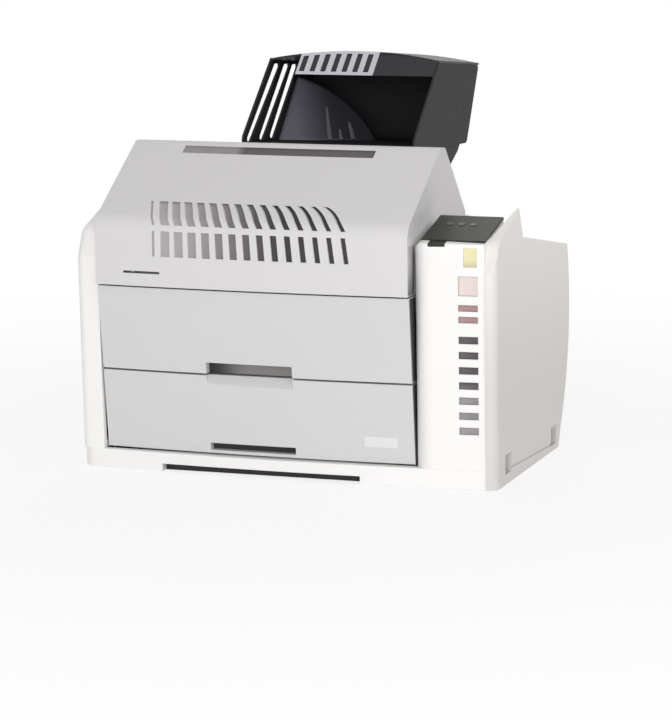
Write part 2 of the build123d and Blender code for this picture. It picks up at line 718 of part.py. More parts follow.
def cover_rear_outline(depth):
    """Ridge, rear slope and tail of the cover, moved inwards by depth."""
    tail_y = HINGE_Y + HINGE_BOSS_R
    slope = (REAR_KNEE_Z - RIDGE_Z) / (REAR_KNEE_Y - RIDGE_REAR_Y)
    drop = depth * math.sqrt(1 + slope ** 2)
    tail_z = REAR_KNEE_Z + slope * (tail_y - REAR_KNEE_Y)
    low = COVER_Z0 - depth
    points = [
        (RIDGE_JOIN_Y - 1, low),
        (RIDGE_JOIN_Y - 1, RIDGE_Z - depth),
        (RIDGE_REAR_Y + (depth - drop) / slope, RIDGE_Z - depth),
        (tail_y + depth, tail_z + depth * slope - drop),
        (tail_y + depth, low),
    ]
    return points, (0, 0, RIDGE_REAR_R - depth, 0, 0)


def cover_solid(depth):
    """Whole outer form of the cover, moved inwards by depth."""
    x0, x1 = BLOCK_X0 + depth, BLOCK_X1 - depth
    front_points, front_radii = cover_front_outline(depth)
    rear_points, rear_radii = cover_rear_outline(depth)
    return bowed(front_points, x0, x1, front_radii) + prism_x(rear_points, x0, x1, rear_radii)


def slope_point(u, d):
    """Point u down the cover's slope from the ridge and d below its surface."""
    return (RIDGE_Y - u / COVER_STRETCH + d * COVER_RISE / COVER_STRETCH,
            RIDGE_Z - u * COVER_RISE / COVER_STRETCH - d / COVER_STRETCH)


def slope_strip(x0, x1, u0, u1, d0, d1):
    """Strip on the cover's slope between two depths, following the bow."""
    return bowed([slope_point(u0, d0), slope_point(u1, d0), slope_point(u1, d1), slope_point(u0, d1)], x0, x1)


def slot_cut(x_low, x_top, width, z0, z1, bend):
    """Slot through the cover's front, leaning from x_low to x_top and bent to the right."""
    half = width / 2
    middle, mid_z = (x_low + x_top) / 2 + bend, (z0 + z1) / 2
    if bend > 0:
        left = ThreePointArc((x_top - half, z1), (middle - half, mid_z), (x_low - half, z0))
        right = ThreePointArc((x_low + half, z0), (middle + half, mid_z), (x_top + half, z1))
    else:
        left = Line((x_top - half, z1), (x_low - half, z0))
        right = Line((x_low + half, z0), (x_top + half, z1))
    low = Line((x_low - half, z0), (x_low + half, z0))
    top = Line((x_top + half, z1), (x_top - half, z1))
    cut_rear = RIDGE_Y - GRILLE_CUT_BACK
    outline = Plane.XZ.offset(-cut_rear) * make_face([left, low, right, top])
    return extrude(outline, cut_rear - COVER_FRONT_Y + 20)


def grille_cuts():
    """Both rows of slots, narrower and leaning more to the right, and the edge slot at the left."""
    pitch = GRILLE_WIDTH / GRILLE_COUNT
    cuts = []
    for i in range(GRILLE_COUNT):
        share = i / (GRILLE_COUNT - 1)
        width = GRILLE_WIDE + (GRILLE_NARROW - GRILLE_WIDE) * share
        x = GRILLE_X0 + (i + 0.5) * pitch
        lean_low = GRILLE_LEAN_LOW * share
        lean_top = GRILLE_LEAN_LEFT + (GRILLE_LEAN_RIGHT - GRILLE_LEAN_LEFT) * share
        cuts.append(slot_cut(x + lean_low / 2, x - lean_low / 2, width, GRILLE_LOW_Z0, GRILLE_LOW_Z1, 0))
        knee = x - lean_low / 2
        cuts.append(slot_cut(knee, knee - lean_top, width, GRILLE_TOP_Z0, GRILLE_TOP_Z1,
                             lean_top * share / 6))
    edge = GRILLE_X0 - GRILLE_EDGE_GAP - GRILLE_EDGE_W / 2
    cuts.append(slot_cut(edge, edge, GRILLE_EDGE_W, GRILLE_LOW_Z0, GRILLE_LOW_Z1, 0))
    cuts.append(slot_cut(edge, edge - GRILLE_LEAN_LEFT, GRILLE_EDGE_W, GRILLE_TOP_Z0, GRILLE_TOP_Z1, 0))
    return cuts


def buffer_places():
    return (GRILLE_X0 - BUFFER_INSET, GRILLE_X0 + GRILLE_WIDTH + BUFFER_INSET)


def flank_bottom_cut():
    """Takes the cover's lower edge up towards the hinge, behind the front part."""
    tail_y = HINGE_Y + HINGE_BOSS_R
    points = [(FLANK_RISE_Y, COVER_Z0 - 20), (FLANK_RISE_Y, COVER_Z0), (HINGE_Y, HINGE_Z - HINGE_BOSS_R),
              (tail_y + 20, HINGE_Z - HINGE_BOSS_R), (tail_y + 20, COVER_Z0 - 20)]
    return prism_x(points, BLOCK_X0 - 1, BLOCK_X1 + 1)


def make_top_cover():
    tail_y = HINGE_Y + HINGE_BOSS_R
    outer = cover_solid(0)
    cover = outer - cover_solid(SKIN)
    cover = cover - box(BLOCK_X0 - 1, BLOCK_X1 + 1, tail_y, tail_y + 30, 0, 2 * RIDGE_Z)
    cover = cover - flank_bottom_cut()
    rib_z = BAR_Z + BAR_H + BUFFER_H + SEAT_CLEAR
    for x in buffer_places():
        rib = box(x - SKIN / 2, x + SKIN / 2, COVER_FRONT_Y - 5, FRONT_BAR_Y + BAR_DEPTH, rib_z, RIDGE_Z)
        cover = cover + (rib & outer)
    for cut in grille_cuts():
        cover = cover - cut
    cover = cover - slope_strip(GRIP_X0, GRIP_X0 + GRIP_WIDTH, GRIP_TOP, GRIP_TOP + GRIP_BAND,
                                -9.0, GRIP_DEPTH)
    dash_rear = COVER_FRONT_Y + bow_offset(DASH_X0) + SKIN + 1
    cover = cover - box(DASH_X0, DASH_X0 + DASH_WIDTH, COVER_FRONT_Y - 5, dash_rear,
                        DASH_Z - DASH_H / 2, DASH_Z + DASH_H / 2)
    hole = rod_x(BLOCK_X0 - 1, BLOCK_X1 + 1, HINGE_Y, HINGE_Z, HINGE_PIN_R + PIN_CLEAR)
    return cover - hole


def make_cover_grip():
    strip = slope_strip(GRIP_X0, GRIP_X0 + GRIP_WIDTH, GRIP_TOP, GRIP_TOP + GRIP_BAND,
                        GRIP_DEPTH - 1.0, GRIP_DEPTH)
    lip = slope_strip(GRIP_X0, GRIP_X0 + GRIP_WIDTH, GRIP_TOP, GRIP_TOP + GRIP_LIP, 0.0, GRIP_DEPTH)
    return strip + lip


def make_grille_backing():
    front_points, front_radii = cover_front_outline(SKIN)
    inner_points, inner_radii = cover_front_outline(SKIN + GRILLE_BACK_T)
    x0 = GRILLE_X0 - GRILLE_EDGE_GAP - GRILLE_LEAN_LEFT - GRILLE_WIDE
    x1 = GRILLE_X0 + GRILLE_WIDTH + GRILLE_WIDE
    sheet = bowed(front_points, x0, x1, front_radii) - bowed(inner_points, x0 - 1, x1 + 1, inner_radii)
    return sheet & box(x0, x1, COVER_FRONT_Y, RIDGE_Y - 60, GRILLE_LOW_Z0 - 12, GRILLE_TOP_Z1 + 10)


# Rear deck and rear cover
def make_rear_deck():
    low = SIDE_REAR_TOP_Z - 6
    outer = [(DECK_FRONT_Y, low), (DECK_FRONT_Y, DECK_FRONT_Z), (DECK_REAR_Y, deck_z(DECK_REAR_Y)),
             (DECK_REAR_Y, low)]
    inner = [(DECK_FRONT_Y - 1, low - 1), (DECK_FRONT_Y - 1, deck_z(DECK_FRONT_Y - 1) - SKIN),
             (DECK_REAR_Y - SKIN, deck_z(DECK_REAR_Y - SKIN) - SKIN), (DECK_REAR_Y - SKIN, low - 1)]
    deck = prism_x(outer, BLOCK_X0, BLOCK_X1, (0, 2, DECK_R, 0))
    deck = deck - prism_x(inner, BLOCK_X0 + SKIN, BLOCK_X1 - SKIN, (0, 0, DECK_R - SKIN, 0))
    slot_y = NECK_FRONT_Y + HOOD_WALL
    return deck - box(HOOD_X0 + 2 * HOOD_WALL, HOOD_X1 - 2 * HOOD_WALL, slot_y, slot_y + FILM_SLOT,
                      low, DECK_FRONT_Z + 10)


def right_deck_z(y):
    slope = (FIN_FOOT_Z - SIDE_REAR_TOP_Z) / (SIDE_REAR_TOP_Y - FIN_FOOT_Y)
    return FIN_FOOT_Z - slope * (y - FIN_FOOT_Y) - DECK_DROP


def make_right_deck():
    y0, y1 = COLUMN_REAR_Y, DECK_REAR_Y
    sheet = [(y0, right_deck_z(y0) - SKIN), (y0, right_deck_z(y0)), (y1, right_deck_z(y1)),
             (y1, right_deck_z(y1) - SKIN)]
    return prism_x(sheet, COLUMN_X0, COLUMN_X1)


def barrel_face(inset, z_top):
    """Side view of the rear from the base up, between its curve and a line well inside."""
    top = (SIDE_REAR_TOP_Y - inset, z_top)
    low = (SIDE_REAR_LOW_Y - inset, BASE_H)
    curve = ThreePointArc(top, (SIDE_REAR_MID_Y - inset, SIDE_REAR_MID_Z), low)
    inside = BASE_REAR_Y - 3 * SIDE_REAR_MID_Z
    return make_face([curve, Line(low, (inside, BASE_H)), Line((inside, BASE_H), (inside, z_top)),
                      Line((inside, z_top), top)])


def vent_places(middle):
    return [middle + (i - (VENT_COUNT - 1) / 2) * VENT_PITCH for i in range(VENT_COUNT)]


def socket_row():
    """Middles and sizes of the holes in the socket panel: inlet, switch, network."""
    z = SOCKET_PANEL_Z0 + SOCKET_PANEL_H / 2
    inlet_x = SOCKET_PANEL_X0 + SOCKET_GAP + INLET_W / 2
    switch_x = inlet_x + INLET_W / 2 + SOCKET_GAP + SWITCH_W / 2
    return inlet_x, switch_x, z


def make_rear_cover():
    x0, x1 = -HALF + SIDE_COVER_T - SEAM, COLUMN_X1
    top = SIDE_REAR_TOP_Z - SEAT_CLEAR
    shell = extrude(Plane.YZ.offset(x0) * barrel_face(0, SIDE_REAR_TOP_Z), x1 - x0)
    shell = shell - extrude(Plane.YZ.offset(x0 - 1) * barrel_face(SKIN, SIDE_REAR_TOP_Z), x1 - x0 + 2)
    shell = shell & box(x0, x1, 0, 2 * WIDTH, BASE_H, top)
    px0, px1 = SOCKET_PANEL_X0, SOCKET_PANEL_X0 + SOCKET_PANEL_WIDTH
    pz0, pz1 = SOCKET_PANEL_Z0, SOCKET_PANEL_Z0 + SOCKET_PANEL_H
    shell = shell + box(px0, px1, SIDE_REAR_LOW_Y, SOCKET_PANEL_Y, pz0, pz1)
    shell = shell - box(px0 + SKIN, px1 - SKIN, 0, SOCKET_PANEL_Y - SKIN, pz0 + SKIN, pz1 - SKIN)
    shell = shell - box(px0 - 2, px1 + 2, 0, SIDE_REAR_LOW_Y + 6, pz0 - 2, pz1 + 2)
    inlet_x, switch_x, z = socket_row()
    for x, w, h in ((inlet_x, INLET_W, INLET_H), (switch_x, SWITCH_W, SWITCH_H)):
        shell = shell - box(x - w / 2, x + w / 2, SOCKET_PANEL_Y - 20, SOCKET_PANEL_Y + 1,
                            z - h / 2, z + h / 2)
    pivot_y = SOCKET_PANEL_Y - ROCKER_SET_IN
    for side in (-1, 1):
        inner = switch_x + side * SWITCH_W / 2
        outer = inner + side * LUG_T
        lug = box(min(inner, outer), max(inner, outer), SOCKET_PANEL_Y - LUG_DEPTH, SOCKET_PANEL_Y - 1,
                  z - LUG_T, z + LUG_T)
        shell = shell + lug
    shell = shell - rod_x(switch_x - SWITCH_W, switch_x + SWITCH_W / 2 + LUG_T - 0.5, pivot_y, z,
                          ROCKER_PIN_R + PIN_CLEAR)
    net_x, net_z = network_place()
    shell = shell - box(net_x - NET_W / 2, net_x + NET_W / 2, 0, 2 * WIDTH,
                        net_z - NET_H / 2, net_z + NET_H / 2)
    for x in vent_places(FAN_X):
        shell = shell - box(x - VENT_W / 2, x + VENT_W / 2, BASE_REAR_Y, WIDTH, FAN_Z - FAN_SIZE / 2,
                            FAN_Z + FAN_SIZE / 2)
    for x in vent_places(BLOCK_MID):
        shell = shell - box(x - VENT_W / 2, x + VENT_W / 2, BASE_REAR_Y, WIDTH, FAN_Z + FAN_SIZE / 2 - VENT_H,
                            FAN_Z + FAN_SIZE / 2)
    return shell


def network_place():
    return SOCKET_PANEL_X0 + SOCKET_PANEL_WIDTH / 2, SOCKET_PANEL_Z0 + SOCKET_PANEL_H + NET_RISE


def socket(x, z, face_y, w, h, depth, cavity_w, cavity_h, rim):
    """Socket body let into a panel from outside, with its flange and its open cavity."""
    half_w, half_h = w / 2 - SEAT_CLEAR, h / 2 - SEAT_CLEAR
    body = box(x - half_w, x + half_w, face_y - depth, face_y, z - half_h, z + half_h)
    body = body + box(x - w / 2 - rim, x + w / 2 + rim, face_y, face_y + SOCKET_FLANGE,
                      z - h / 2 - rim, z + h / 2 + rim)
    return body - box(x - cavity_w / 2, x + cavity_w / 2, face_y - depth + 3, face_y + SOCKET_FLANGE + 1,
                      z - cavity_h / 2, z + cavity_h / 2)


def make_power_inlet():
    inlet_x, _, z = socket_row()
    body = socket(inlet_x, z, SOCKET_PANEL_Y, INLET_W, INLET_H, INLET_DEPTH, INLET_CAVITY_W, INLET_CAVITY_H,
                  SOCKET_RIM)
    floor_y = SOCKET_PANEL_Y - INLET_DEPTH + 3
    for x, dz in ((-BLADE_PITCH, 2.0), (0.0, -2.0), (BLADE_PITCH, 2.0)):
        body = body + box(inlet_x + x - 1, inlet_x + x + 1, floor_y - 1, floor_y + BLADE_LENGTH,
                          z + dz - 2, z + dz + 2)
    return body


def make_network_socket():
    x, z = network_place()
    return socket(x, z, network_face_y(), NET_W, NET_H, NET_DEPTH, NET_CAVITY_W, NET_CAVITY_H, SOCKET_FLANGE)


def network_face_y():
    """Y that just clears the rear's curve at the network socket."""
    return barrel_y(network_place()[1] + NET_H / 2 + 2)


def barrel_y(z):
    """Y of the outside of the rear at height z."""
    y1, z1 = SIDE_REAR_LOW_Y, BASE_H
    y2, z2 = SIDE_REAR_MID_Y, SIDE_REAR_MID_Z
    y3, z3 = SIDE_REAR_TOP_Y, SIDE_REAR_TOP_Z
    d = 2 * (y1 * (z2 - z3) + y2 * (z3 - z1) + y3 * (z1 - z2))
    s1, s2, s3 = y1 ** 2 + z1 ** 2, y2 ** 2 + z2 ** 2, y3 ** 2 + z3 ** 2
    cy = (s1 * (z2 - z3) + s2 * (z3 - z1) + s3 * (z1 - z2)) / d
    cz = (s1 * (y3 - y2) + s2 * (y1 - y3) + s3 * (y2 - y1)) / d
    return cy + math.sqrt((y1 - cy) ** 2 + (z1 - cz) ** 2 - (z - cz) ** 2)


def make_power_rocker():
    _, x, z = socket_row()
    y = SOCKET_PANEL_Y - ROCKER_SET_IN
    half = SWITCH_W / 2 - SEAT_CLEAR
    side_view = [(-ROCKER_BACK, -ROCKER_HALF_H + 2), (-ROCKER_BACK, ROCKER_HALF_H - 2),
                 (ROCKER_BACK, ROCKER_HALF_H), (ROCKER_BACK - 2, 0), (ROCKER_BACK, -ROCKER_HALF_H)]
    body = Pos(0, y, z) * Rot(ROCKER_DEG, 0, 0) * prism_x(side_view, x - half, x + half, (1, 1, 1, 0, 1))
    return body + rod_x(x - SWITCH_W / 2 - LUG_T + 1, x + SWITCH_W / 2 + LUG_T - 1, y, z, ROCKER_PIN_R)


# Output hood
HOOD_LOW_FRONT = (HOOD_FRONT_LOW_Y, HOOD_FRONT_LOW_Z)
HOOD_HIGH_FRONT = (HOOD_FRONT_TOP_Y, HOOD_TOP_FRONT_Z - HOOD_TOP_T)
HOOD_HIGH_REAR = (HOOD_REAR_TOP_Y, HOOD_TOP_REAR_Z - HOOD_TOP_T)
HOOD_LOW_REAR = (HOOD_REAR_LOW_Y, HOOD_REAR_LOW_Z)
HOOD_TOP_SLOPE = (HOOD_TOP_REAR_Z - HOOD_TOP_FRONT_Z) / (HOOD_REAR_TOP_Y - HOOD_FRONT_TOP_Y)
HOOD_FLOOR_SLOPE = (HOOD_REAR_LOW_Z - HOOD_FRONT_LOW_Z) / (HOOD_REAR_LOW_Y - HOOD_FRONT_LOW_Y)


def hood_floor_z(y):
    """Underside of the hood's floor."""
    return HOOD_FRONT_LOW_Z + HOOD_FLOOR_SLOPE * (y - HOOD_FRONT_LOW_Y)


def hood_front_y(z):
    """Front edge of the hood's side walls at height z."""
    share = (z - HOOD_LOW_FRONT[1]) / (HOOD_HIGH_FRONT[1] - HOOD_LOW_FRONT[1])
    return HOOD_LOW_FRONT[0] + share * (HOOD_HIGH_FRONT[0] - HOOD_LOW_FRONT[0])


def hood_rear_y(z):
    share = (z - HOOD_LOW_REAR[1]) / (HOOD_HIGH_REAR[1] - HOOD_LOW_REAR[1])
    return HOOD_LOW_REAR[0] + share * (HOOD_HIGH_REAR[0] - HOOD_LOW_REAR[0])


def make_hood_wall(x0):
    return prism_x([HOOD_LOW_FRONT, HOOD_HIGH_FRONT, HOOD_HIGH_REAR, HOOD_LOW_REAR], x0, x0 + HOOD_WALL,
                   (HOOD_CORNER_R, 3, 6, HOOD_CORNER_R))


def make_hood_left_wall():
    wall = make_hood_wall(HOOD_X0)
    half_low, half_high = HOOD_SLOT_LOW_W / 2, HOOD_SLOT_HIGH_W / 2
    radius = min(HOOD_SLOT_R, half_low / 2)
    for low_offset, high_offset in zip(HOOD_SLOT_LOW_OFFSETS, HOOD_SLOT_HIGH_OFFSETS):
        low, high = HOOD_FRONT_LOW_Y + low_offset, HOOD_FRONT_TOP_Y + high_offset
        z0 = hood_floor_z(low) + HOOD_SLOT_FOOT
        z1 = hood_roof_z(high) - HOOD_SLOT_HEAD
        wall = wall - prism_x([(low - half_low, z0), (low + half_low, z0), (high + half_high, z1),
                               (high - half_high, z1)], HOOD_X0 - 1, HOOD_X0 + HOOD_WALL + 1, (radius,) * 4)
    return wall


def hood_roof_z(y):
    """Top of the side walls."""
    return HOOD_HIGH_FRONT[1] + HOOD_TOP_SLOPE * (y - HOOD_FRONT_TOP_Y)


def on_hood_top(shape):
    """Lays a shape drawn from the walls' front top corner onto the hood's sloping top."""
    tilt = math.degrees(math.atan(HOOD_TOP_SLOPE))
    return Pos(0, *HOOD_HIGH_FRONT) * Rot(tilt, 0, 0) * shape


def hood_top_length():
    return math.hypot(HOOD_HIGH_REAR[0] - HOOD_HIGH_FRONT[0], HOOD_HIGH_REAR[1] - HOOD_HIGH_FRONT[1])


def arch_form(lift):
    """All that lies under the arched top at a height above the walls, from ahead of its front."""
    left, right = HOOD_X0 + HOOD_WALL, HOOD_X1 - HOOD_WALL
    face = make_face([
        ThreePointArc((left, lift), ((left + right) / 2, lift + HOOD_DOME), (right, lift)),
        Line((right, lift), (right, -WIDTH)),
        Line((right, -WIDTH), (left, -WIDTH)),
        Line((left, -WIDTH), (left, lift)),
    ])
    ahead = 2 * HOOD_DOME
    return on_hood_top(extrude(Plane.XZ.offset(ahead) * face, -hood_top_length() - ahead))


def ahead_of_hood(gap):
    """Everything in front of the hood's leaning front, moved forward by gap."""
    z0, z1 = HOOD_FRONT_LOW_Z, HOOD_TOP_FRONT_Z + 3 * HOOD_DOME
    return prism_x([(-WIDTH, z0), (hood_front_y(z0) - gap, z0), (hood_front_y(z1) - gap, z1), (-WIDTH, z1)],
                   HOOD_X0 - 1, HOOD_X1 + 1)


def hood_header(x0, x1, ahead, behind, z0):
    """Leaning strip across the top of the hood's front, from ahead of its face to behind it."""
    z1 = HOOD_TOP_FRONT_Z + 2 * HOOD_DOME
    return prism_x([(hood_front_y(z0) - ahead, z0), (hood_front_y(z0) + behind, z0),
                    (hood_front_y(z1) + behind, z1), (hood_front_y(z1) - ahead, z1)], x0, x1)


HOOD_HEADER_Z = HOOD_TOP_FRONT_Z - HOOD_TOP_T - HOOD_HEADER


def make_hood_top():
    length = hood_top_length()
    left, right = HOOD_X0 + HOOD_WALL, HOOD_X1 - HOOD_WALL
    edges = box(HOOD_X0, left, 0, length, 0, HOOD_TOP_T) + box(right, HOOD_X1, 0, length, 0, HOOD_TOP_T)
    top = arch_form(HOOD_TOP_T) - arch_form(0) + on_hood_top(edges)
    header = hood_header(BAND_X0, right, 0, HOOD_WALL, HOOD_HEADER_Z)
    return top - ahead_of_hood(0) + (header & arch_form(0))


def make_hood_vent_band():
    x0, x1 = BAND_X0, BAND_X0 + BAND_WIDTH
    band = hood_header(x0, x1, BAND_T, 0, HOOD_HEADER_Z) & arch_form(HOOD_TOP_T)
    slots = arch_form(HOOD_TOP_T - BAND_RIM) & box(x0, x1, 0, WIDTH, HOOD_HEADER_Z + BAND_RIM, 2 * WIDTH)
    pitch = (BAND_WIDTH - BAND_RIM) / BAND_SLOTS
    for i in range(BAND_SLOTS):
        x = x0 + BAND_RIM + i * pitch
        band = band - (slots & box(x, x + BAND_SLOT_W, 0, WIDTH, 0, 2 * WIDTH))
    return band


def make_hood_back():
    z0 = HOOD_REAR_LOW_Z + HOOD_CORNER_R
    z1 = HOOD_HIGH_REAR[1] + 2 * HOOD_DOME
    lean = (HOOD_HIGH_REAR[0] - HOOD_LOW_REAR[0]) / (HOOD_HIGH_REAR[1] - HOOD_LOW_REAR[1])
    thick = HOOD_WALL * math.sqrt(1 + lean ** 2)
    left, right = HOOD_X0 + HOOD_WALL, HOOD_X1 - HOOD_WALL
    y0, y1 = hood_rear_y(z0), hood_rear_y(z1)
    plate = prism_x([(y0 - thick, z0), (y0, z0), (y1, z1), (y1 - thick, z1)], left, right)
    return plate & arch_form(0)


def make_output_tray():
    y0 = HOOD_FRONT_LOW_Y + HOOD_CORNER_R
    z1 = HOOD_REAR_LOW_Z + HOOD_CORNER_R
    y1 = hood_rear_y(z1)
    points = [(y0, hood_floor_z(y0)), (y0, hood_floor_z(y0) + HOOD_WALL),
              (HOOD_REAR_LOW_Y - HOOD_WALL, hood_floor_z(HOOD_REAR_LOW_Y) + HOOD_WALL),
              (y1 - HOOD_WALL, z1), (y1, z1), (HOOD_REAR_LOW_Y, HOOD_REAR_LOW_Z)]
    floor = prism_x(points, HOOD_X0 + HOOD_WALL, HOOD_X1 - HOOD_WALL,
                    (0, 0, HOOD_CORNER_R - HOOD_WALL, 0, 0, HOOD_CORNER_R))
    slot_y = y0 + HOOD_WALL
    floor = floor - box(HOOD_X0 + 3 * HOOD_WALL, HOOD_X1 - 3 * HOOD_WALL, slot_y, slot_y + FILM_SLOT,
                        HOOD_REAR_LOW_Z - 20, HOOD_FRONT_LOW_Z + 20)
    return floor + film_rest()


def film_rest():
    """Curved sheet in the hood's left half that the film leans on, leaning back like the hood's front.

    Its plan is an arc from the left wall towards the back, and its right edge an arc from the
    floor up to its top at the wall.
    """
    x0 = HOOD_X0 + HOOD_WALL
    foot = Plane(origin=(x0, REST_FOOT_Y, hood_floor_z(REST_FOOT_Y)), x_dir=(1, 0, 0),
                 z_dir=(0, math.cos(math.radians(REST_LEAN_DEG)), math.sin(math.radians(REST_LEAN_DEG))))
    face = ThreePointArc((0, 0), (REST_MID_X, REST_MID_BEND), (REST_WIDTH, REST_BEND))
    back = ThreePointArc((REST_WIDTH, REST_BEND + REST_T), (REST_MID_X, REST_MID_BEND + REST_T),
                         (0, REST_T))
    section = make_face([face, Line(face @ 1, back @ 0), back, Line(back @ 1, face @ 0)])
    sheet = extrude(foot * section, WIDTH / 2)
    z0, z1 = hood_floor_z(REST_FOOT_Y + REST_BEND) + HOOD_WALL - 2, REST_TOP_Z
    middle = (x0 + REST_WIDTH / 2 + REST_BULGE, (z0 + z1) / 2 + REST_BULGE)
    fan = make_face([ThreePointArc((x0 + REST_WIDTH, z0), middle, (x0, z1)), Line((x0, z1), (x0, z0)),
                     Line((x0, z0), (x0 + REST_WIDTH, z0))])
    return sheet & extrude(Plane.XZ * fan, -WIDTH)


def neck_outline(inset):
    """Side view of the hood's neck, from the rear deck up to the hood's floor."""
    front_top = HOOD_FRONT_LOW_Y + HOOD_CORNER_R
    rear_top = NECK_KNEE_Y + HOOD_CORNER_R
    return [
        (NECK_FRONT_Y + inset, deck_z(NECK_FRONT_Y + inset) + inset),
        (NECK_FOOT_REAR_Y - 2 * inset, deck_z(NECK_FOOT_REAR_Y - 2 * inset) + inset),
        (NECK_KNEE_Y - inset, NECK_KNEE_Z + inset * 0.6),
        (rear_top - 3 * inset, hood_floor_z(rear_top - 3 * inset) - inset),
        (front_top + inset, hood_floor_z(front_top + inset) - inset),
    ]


def make_hood_neck():
    x0, x1 = HOOD_X0 + NECK_INSET, HOOD_X1 - NECK_INSET
    neck = prism_x(neck_outline(0), x0, x1)
    low = [(y, z) for y, z in neck_outline(HOOD_WALL)]
    knee_y = NECK_KNEE_Y - 60
    low[2] = (knee_y, NECK_KNEE_Z - 60 * 0.45 + HOOD_WALL)
    low[3] = (knee_y, hood_floor_z(knee_y) - HOOD_WALL)
    neck = neck - prism_x(low, x0 + HOOD_WALL, x1 - HOOD_WALL)
    sx0, sx1 = HOOD_X0 + 3 * HOOD_WALL, HOOD_X1 - 3 * HOOD_WALL
    low_y = NECK_FRONT_Y + HOOD_WALL
    neck = neck - box(sx0, sx1, low_y, low_y + FILM_SLOT, deck_z(DECK_REAR_Y), DECK_FRONT_Z + 3 * HOOD_WALL)
    high_y = HOOD_FRONT_LOW_Y + HOOD_CORNER_R + HOOD_WALL
    return neck - box(sx0, sx1, high_y, high_y + FILM_SLOT, HOOD_FRONT_LOW_Z - 4 * HOOD_WALL,
                      HOOD_FRONT_LOW_Z + 10)


# Drawers
def drawer_front(z0, z1, finger_z0, finger_z1, scoop):
    """Hollow leaning front with a finger slot, and a scooped lip at its top when asked."""
    def shape(inset):
        points = [(front_y(z0 + inset) + inset, z0 + inset), (front_y(z1 - inset) + inset, z1 - inset),
                  (TRAY_FRONT_Y + 40, z1 - inset), (TRAY_FRONT_Y + 40, z0 + inset)]
        return bowed(points, BLOCK_X0 + inset, BLOCK_X1 - inset)
    x0, x1 = FINGER_X0, FINGER_X0 + FINGER_WIDTH
    nearest = front_y(z1) - 5
    solid_low = box(x0 - SKIN, x1 + SKIN, nearest, TRAY_FRONT_Y, z0, finger_z1 + SKIN)
    hollow = shape(FRONT_SKIN) - solid_low
    if scoop:
        hollow = hollow - box(x0 - SKIN, x1 + SKIN, nearest, TRAY_FRONT_Y, z1 - LIP_H - SKIN, z1)
    front = shape(0) - box(BLOCK_X0 - 1, BLOCK_X1 + 1, TRAY_FRONT_Y, TRAY_FRONT_Y + 80, z0 - 1, z1 + 1)
    front = front - hollow
    back_y = front_y(finger_z0) + FINGER_DEPTH
    front = front - box(x0, x1, nearest, back_y, finger_z0, finger_z1)
    if scoop:
        top_y = front_y(z1) + FINGER_DEPTH - 4
        scoop_outline = [(nearest, z1 + 1), (top_y, z1 + 1), (top_y, z1),
                         (front_y(z1 - LIP_H), z1 - LIP_H), (nearest, z1 - LIP_H)]
        front = front - prism_x(scoop_outline, x0, x1)
    return front


def make_upper_front():
    return drawer_front(UPPER_Z0, UPPER_Z1, UPPER_Z0 - 1, UPPER_Z0 + FINGER_H - SEAM, False)


def make_lower_front():
    finger_z1 = LOWER_FINGER_Z + LOWER_FINGER_H
    return drawer_front(LOWER_Z0, LOWER_Z1, LOWER_FINGER_Z, finger_z1, True)


def make_upper_liner():
    back_y = front_y(UPPER_Z0 - 1) + FINGER_DEPTH
    return box(FINGER_X0 + SEAT_CLEAR, FINGER_X0 + FINGER_WIDTH - SEAT_CLEAR, back_y - LINER_T, back_y,
               UPPER_Z0, UPPER_Z0 + FINGER_H - SEAM)


def make_lower_liner():
    back_y = front_y(LOWER_FINGER_Z) + FINGER_DEPTH
    return box(FINGER_X0 + SEAT_CLEAR, FINGER_X0 + FINGER_WIDTH - SEAT_CLEAR, back_y - LINER_T, back_y,
               LOWER_FINGER_Z, LOWER_FINGER_Z + LOWER_FINGER_H)


def tray_floor(z0):
    return z0 + RAIL_Z + RAIL_H + RUN_CLEAR


def lift_pin_z(z0):
    return tray_floor(z0) + TRAY_WALL + RUN_CLEAR + LIFT_PIN_R


def make_tray(z0, z1):
    floor = tray_floor(z0)
    front_y1 = TRAY_FRONT_Y + TRAY_WALL
    tray = box(TRAY_X0, TRAY_X1, TRAY_FRONT_Y, TRAY_REAR_Y, floor, floor + TRAY_H)
    tray = tray - box(TRAY_X0 + TRAY_WALL, TRAY_X1 - TRAY_WALL, front_y1, TRAY_REAR_Y - TRAY_WALL,
                      floor + TRAY_WALL, floor + TRAY_H + 1)
    tray = tray - box(TRAY_X0 - 1, TRAY_X1 + 1, TRAY_REAR_Y - TRAY_WALL, TRAY_REAR_Y + 1,
                      floor + TRAY_REAR_H, floor + TRAY_H + 1)
    tray = tray + box(BLOCK_X0 + 1, BLOCK_X1 - 1, TRAY_FRONT_Y, front_y1, z0 + 1, z1 - 1)
    return tray - rod_x(TRAY_X0 - 1, TRAY_X1 + 1, LIFT_PIVOT_Y, lift_pin_z(z0), LIFT_PIN_R + PIN_CLEAR)


def make_lift_plate(z0):
    low = tray_floor(z0) + TRAY_WALL + RUN_CLEAR
    side = TRAY_WALL + 1.5
    plate = box(TRAY_X0 + side, TRAY_X1 - side, LIFT_PIVOT_Y, LIFT_REAR_Y, low, low + LIFT_T)
    return plate + rod_x(TRAY_X0 + 0.5, TRAY_X1 - 0.5, LIFT_PIVOT_Y, lift_pin_z(z0), LIFT_PIN_R)


def make_label_plate():
    z0, z1 = LABEL_Z0, LABEL_Z0 + LABEL_H
    points = [(front_y(z0) - LABEL_T, z0), (front_y(z1) - LABEL_T, z1),
              (front_y(z1), z1), (front_y(z0), z0)]
    return bowed(points, LABEL_X0, LABEL_X0 + LABEL_WIDTH)


# Inner frame
def pick_z(z0):
    return tray_floor(z0) + TRAY_WALL + RUN_CLEAR + LIFT_T + FILM_STACK_H + PICK_R


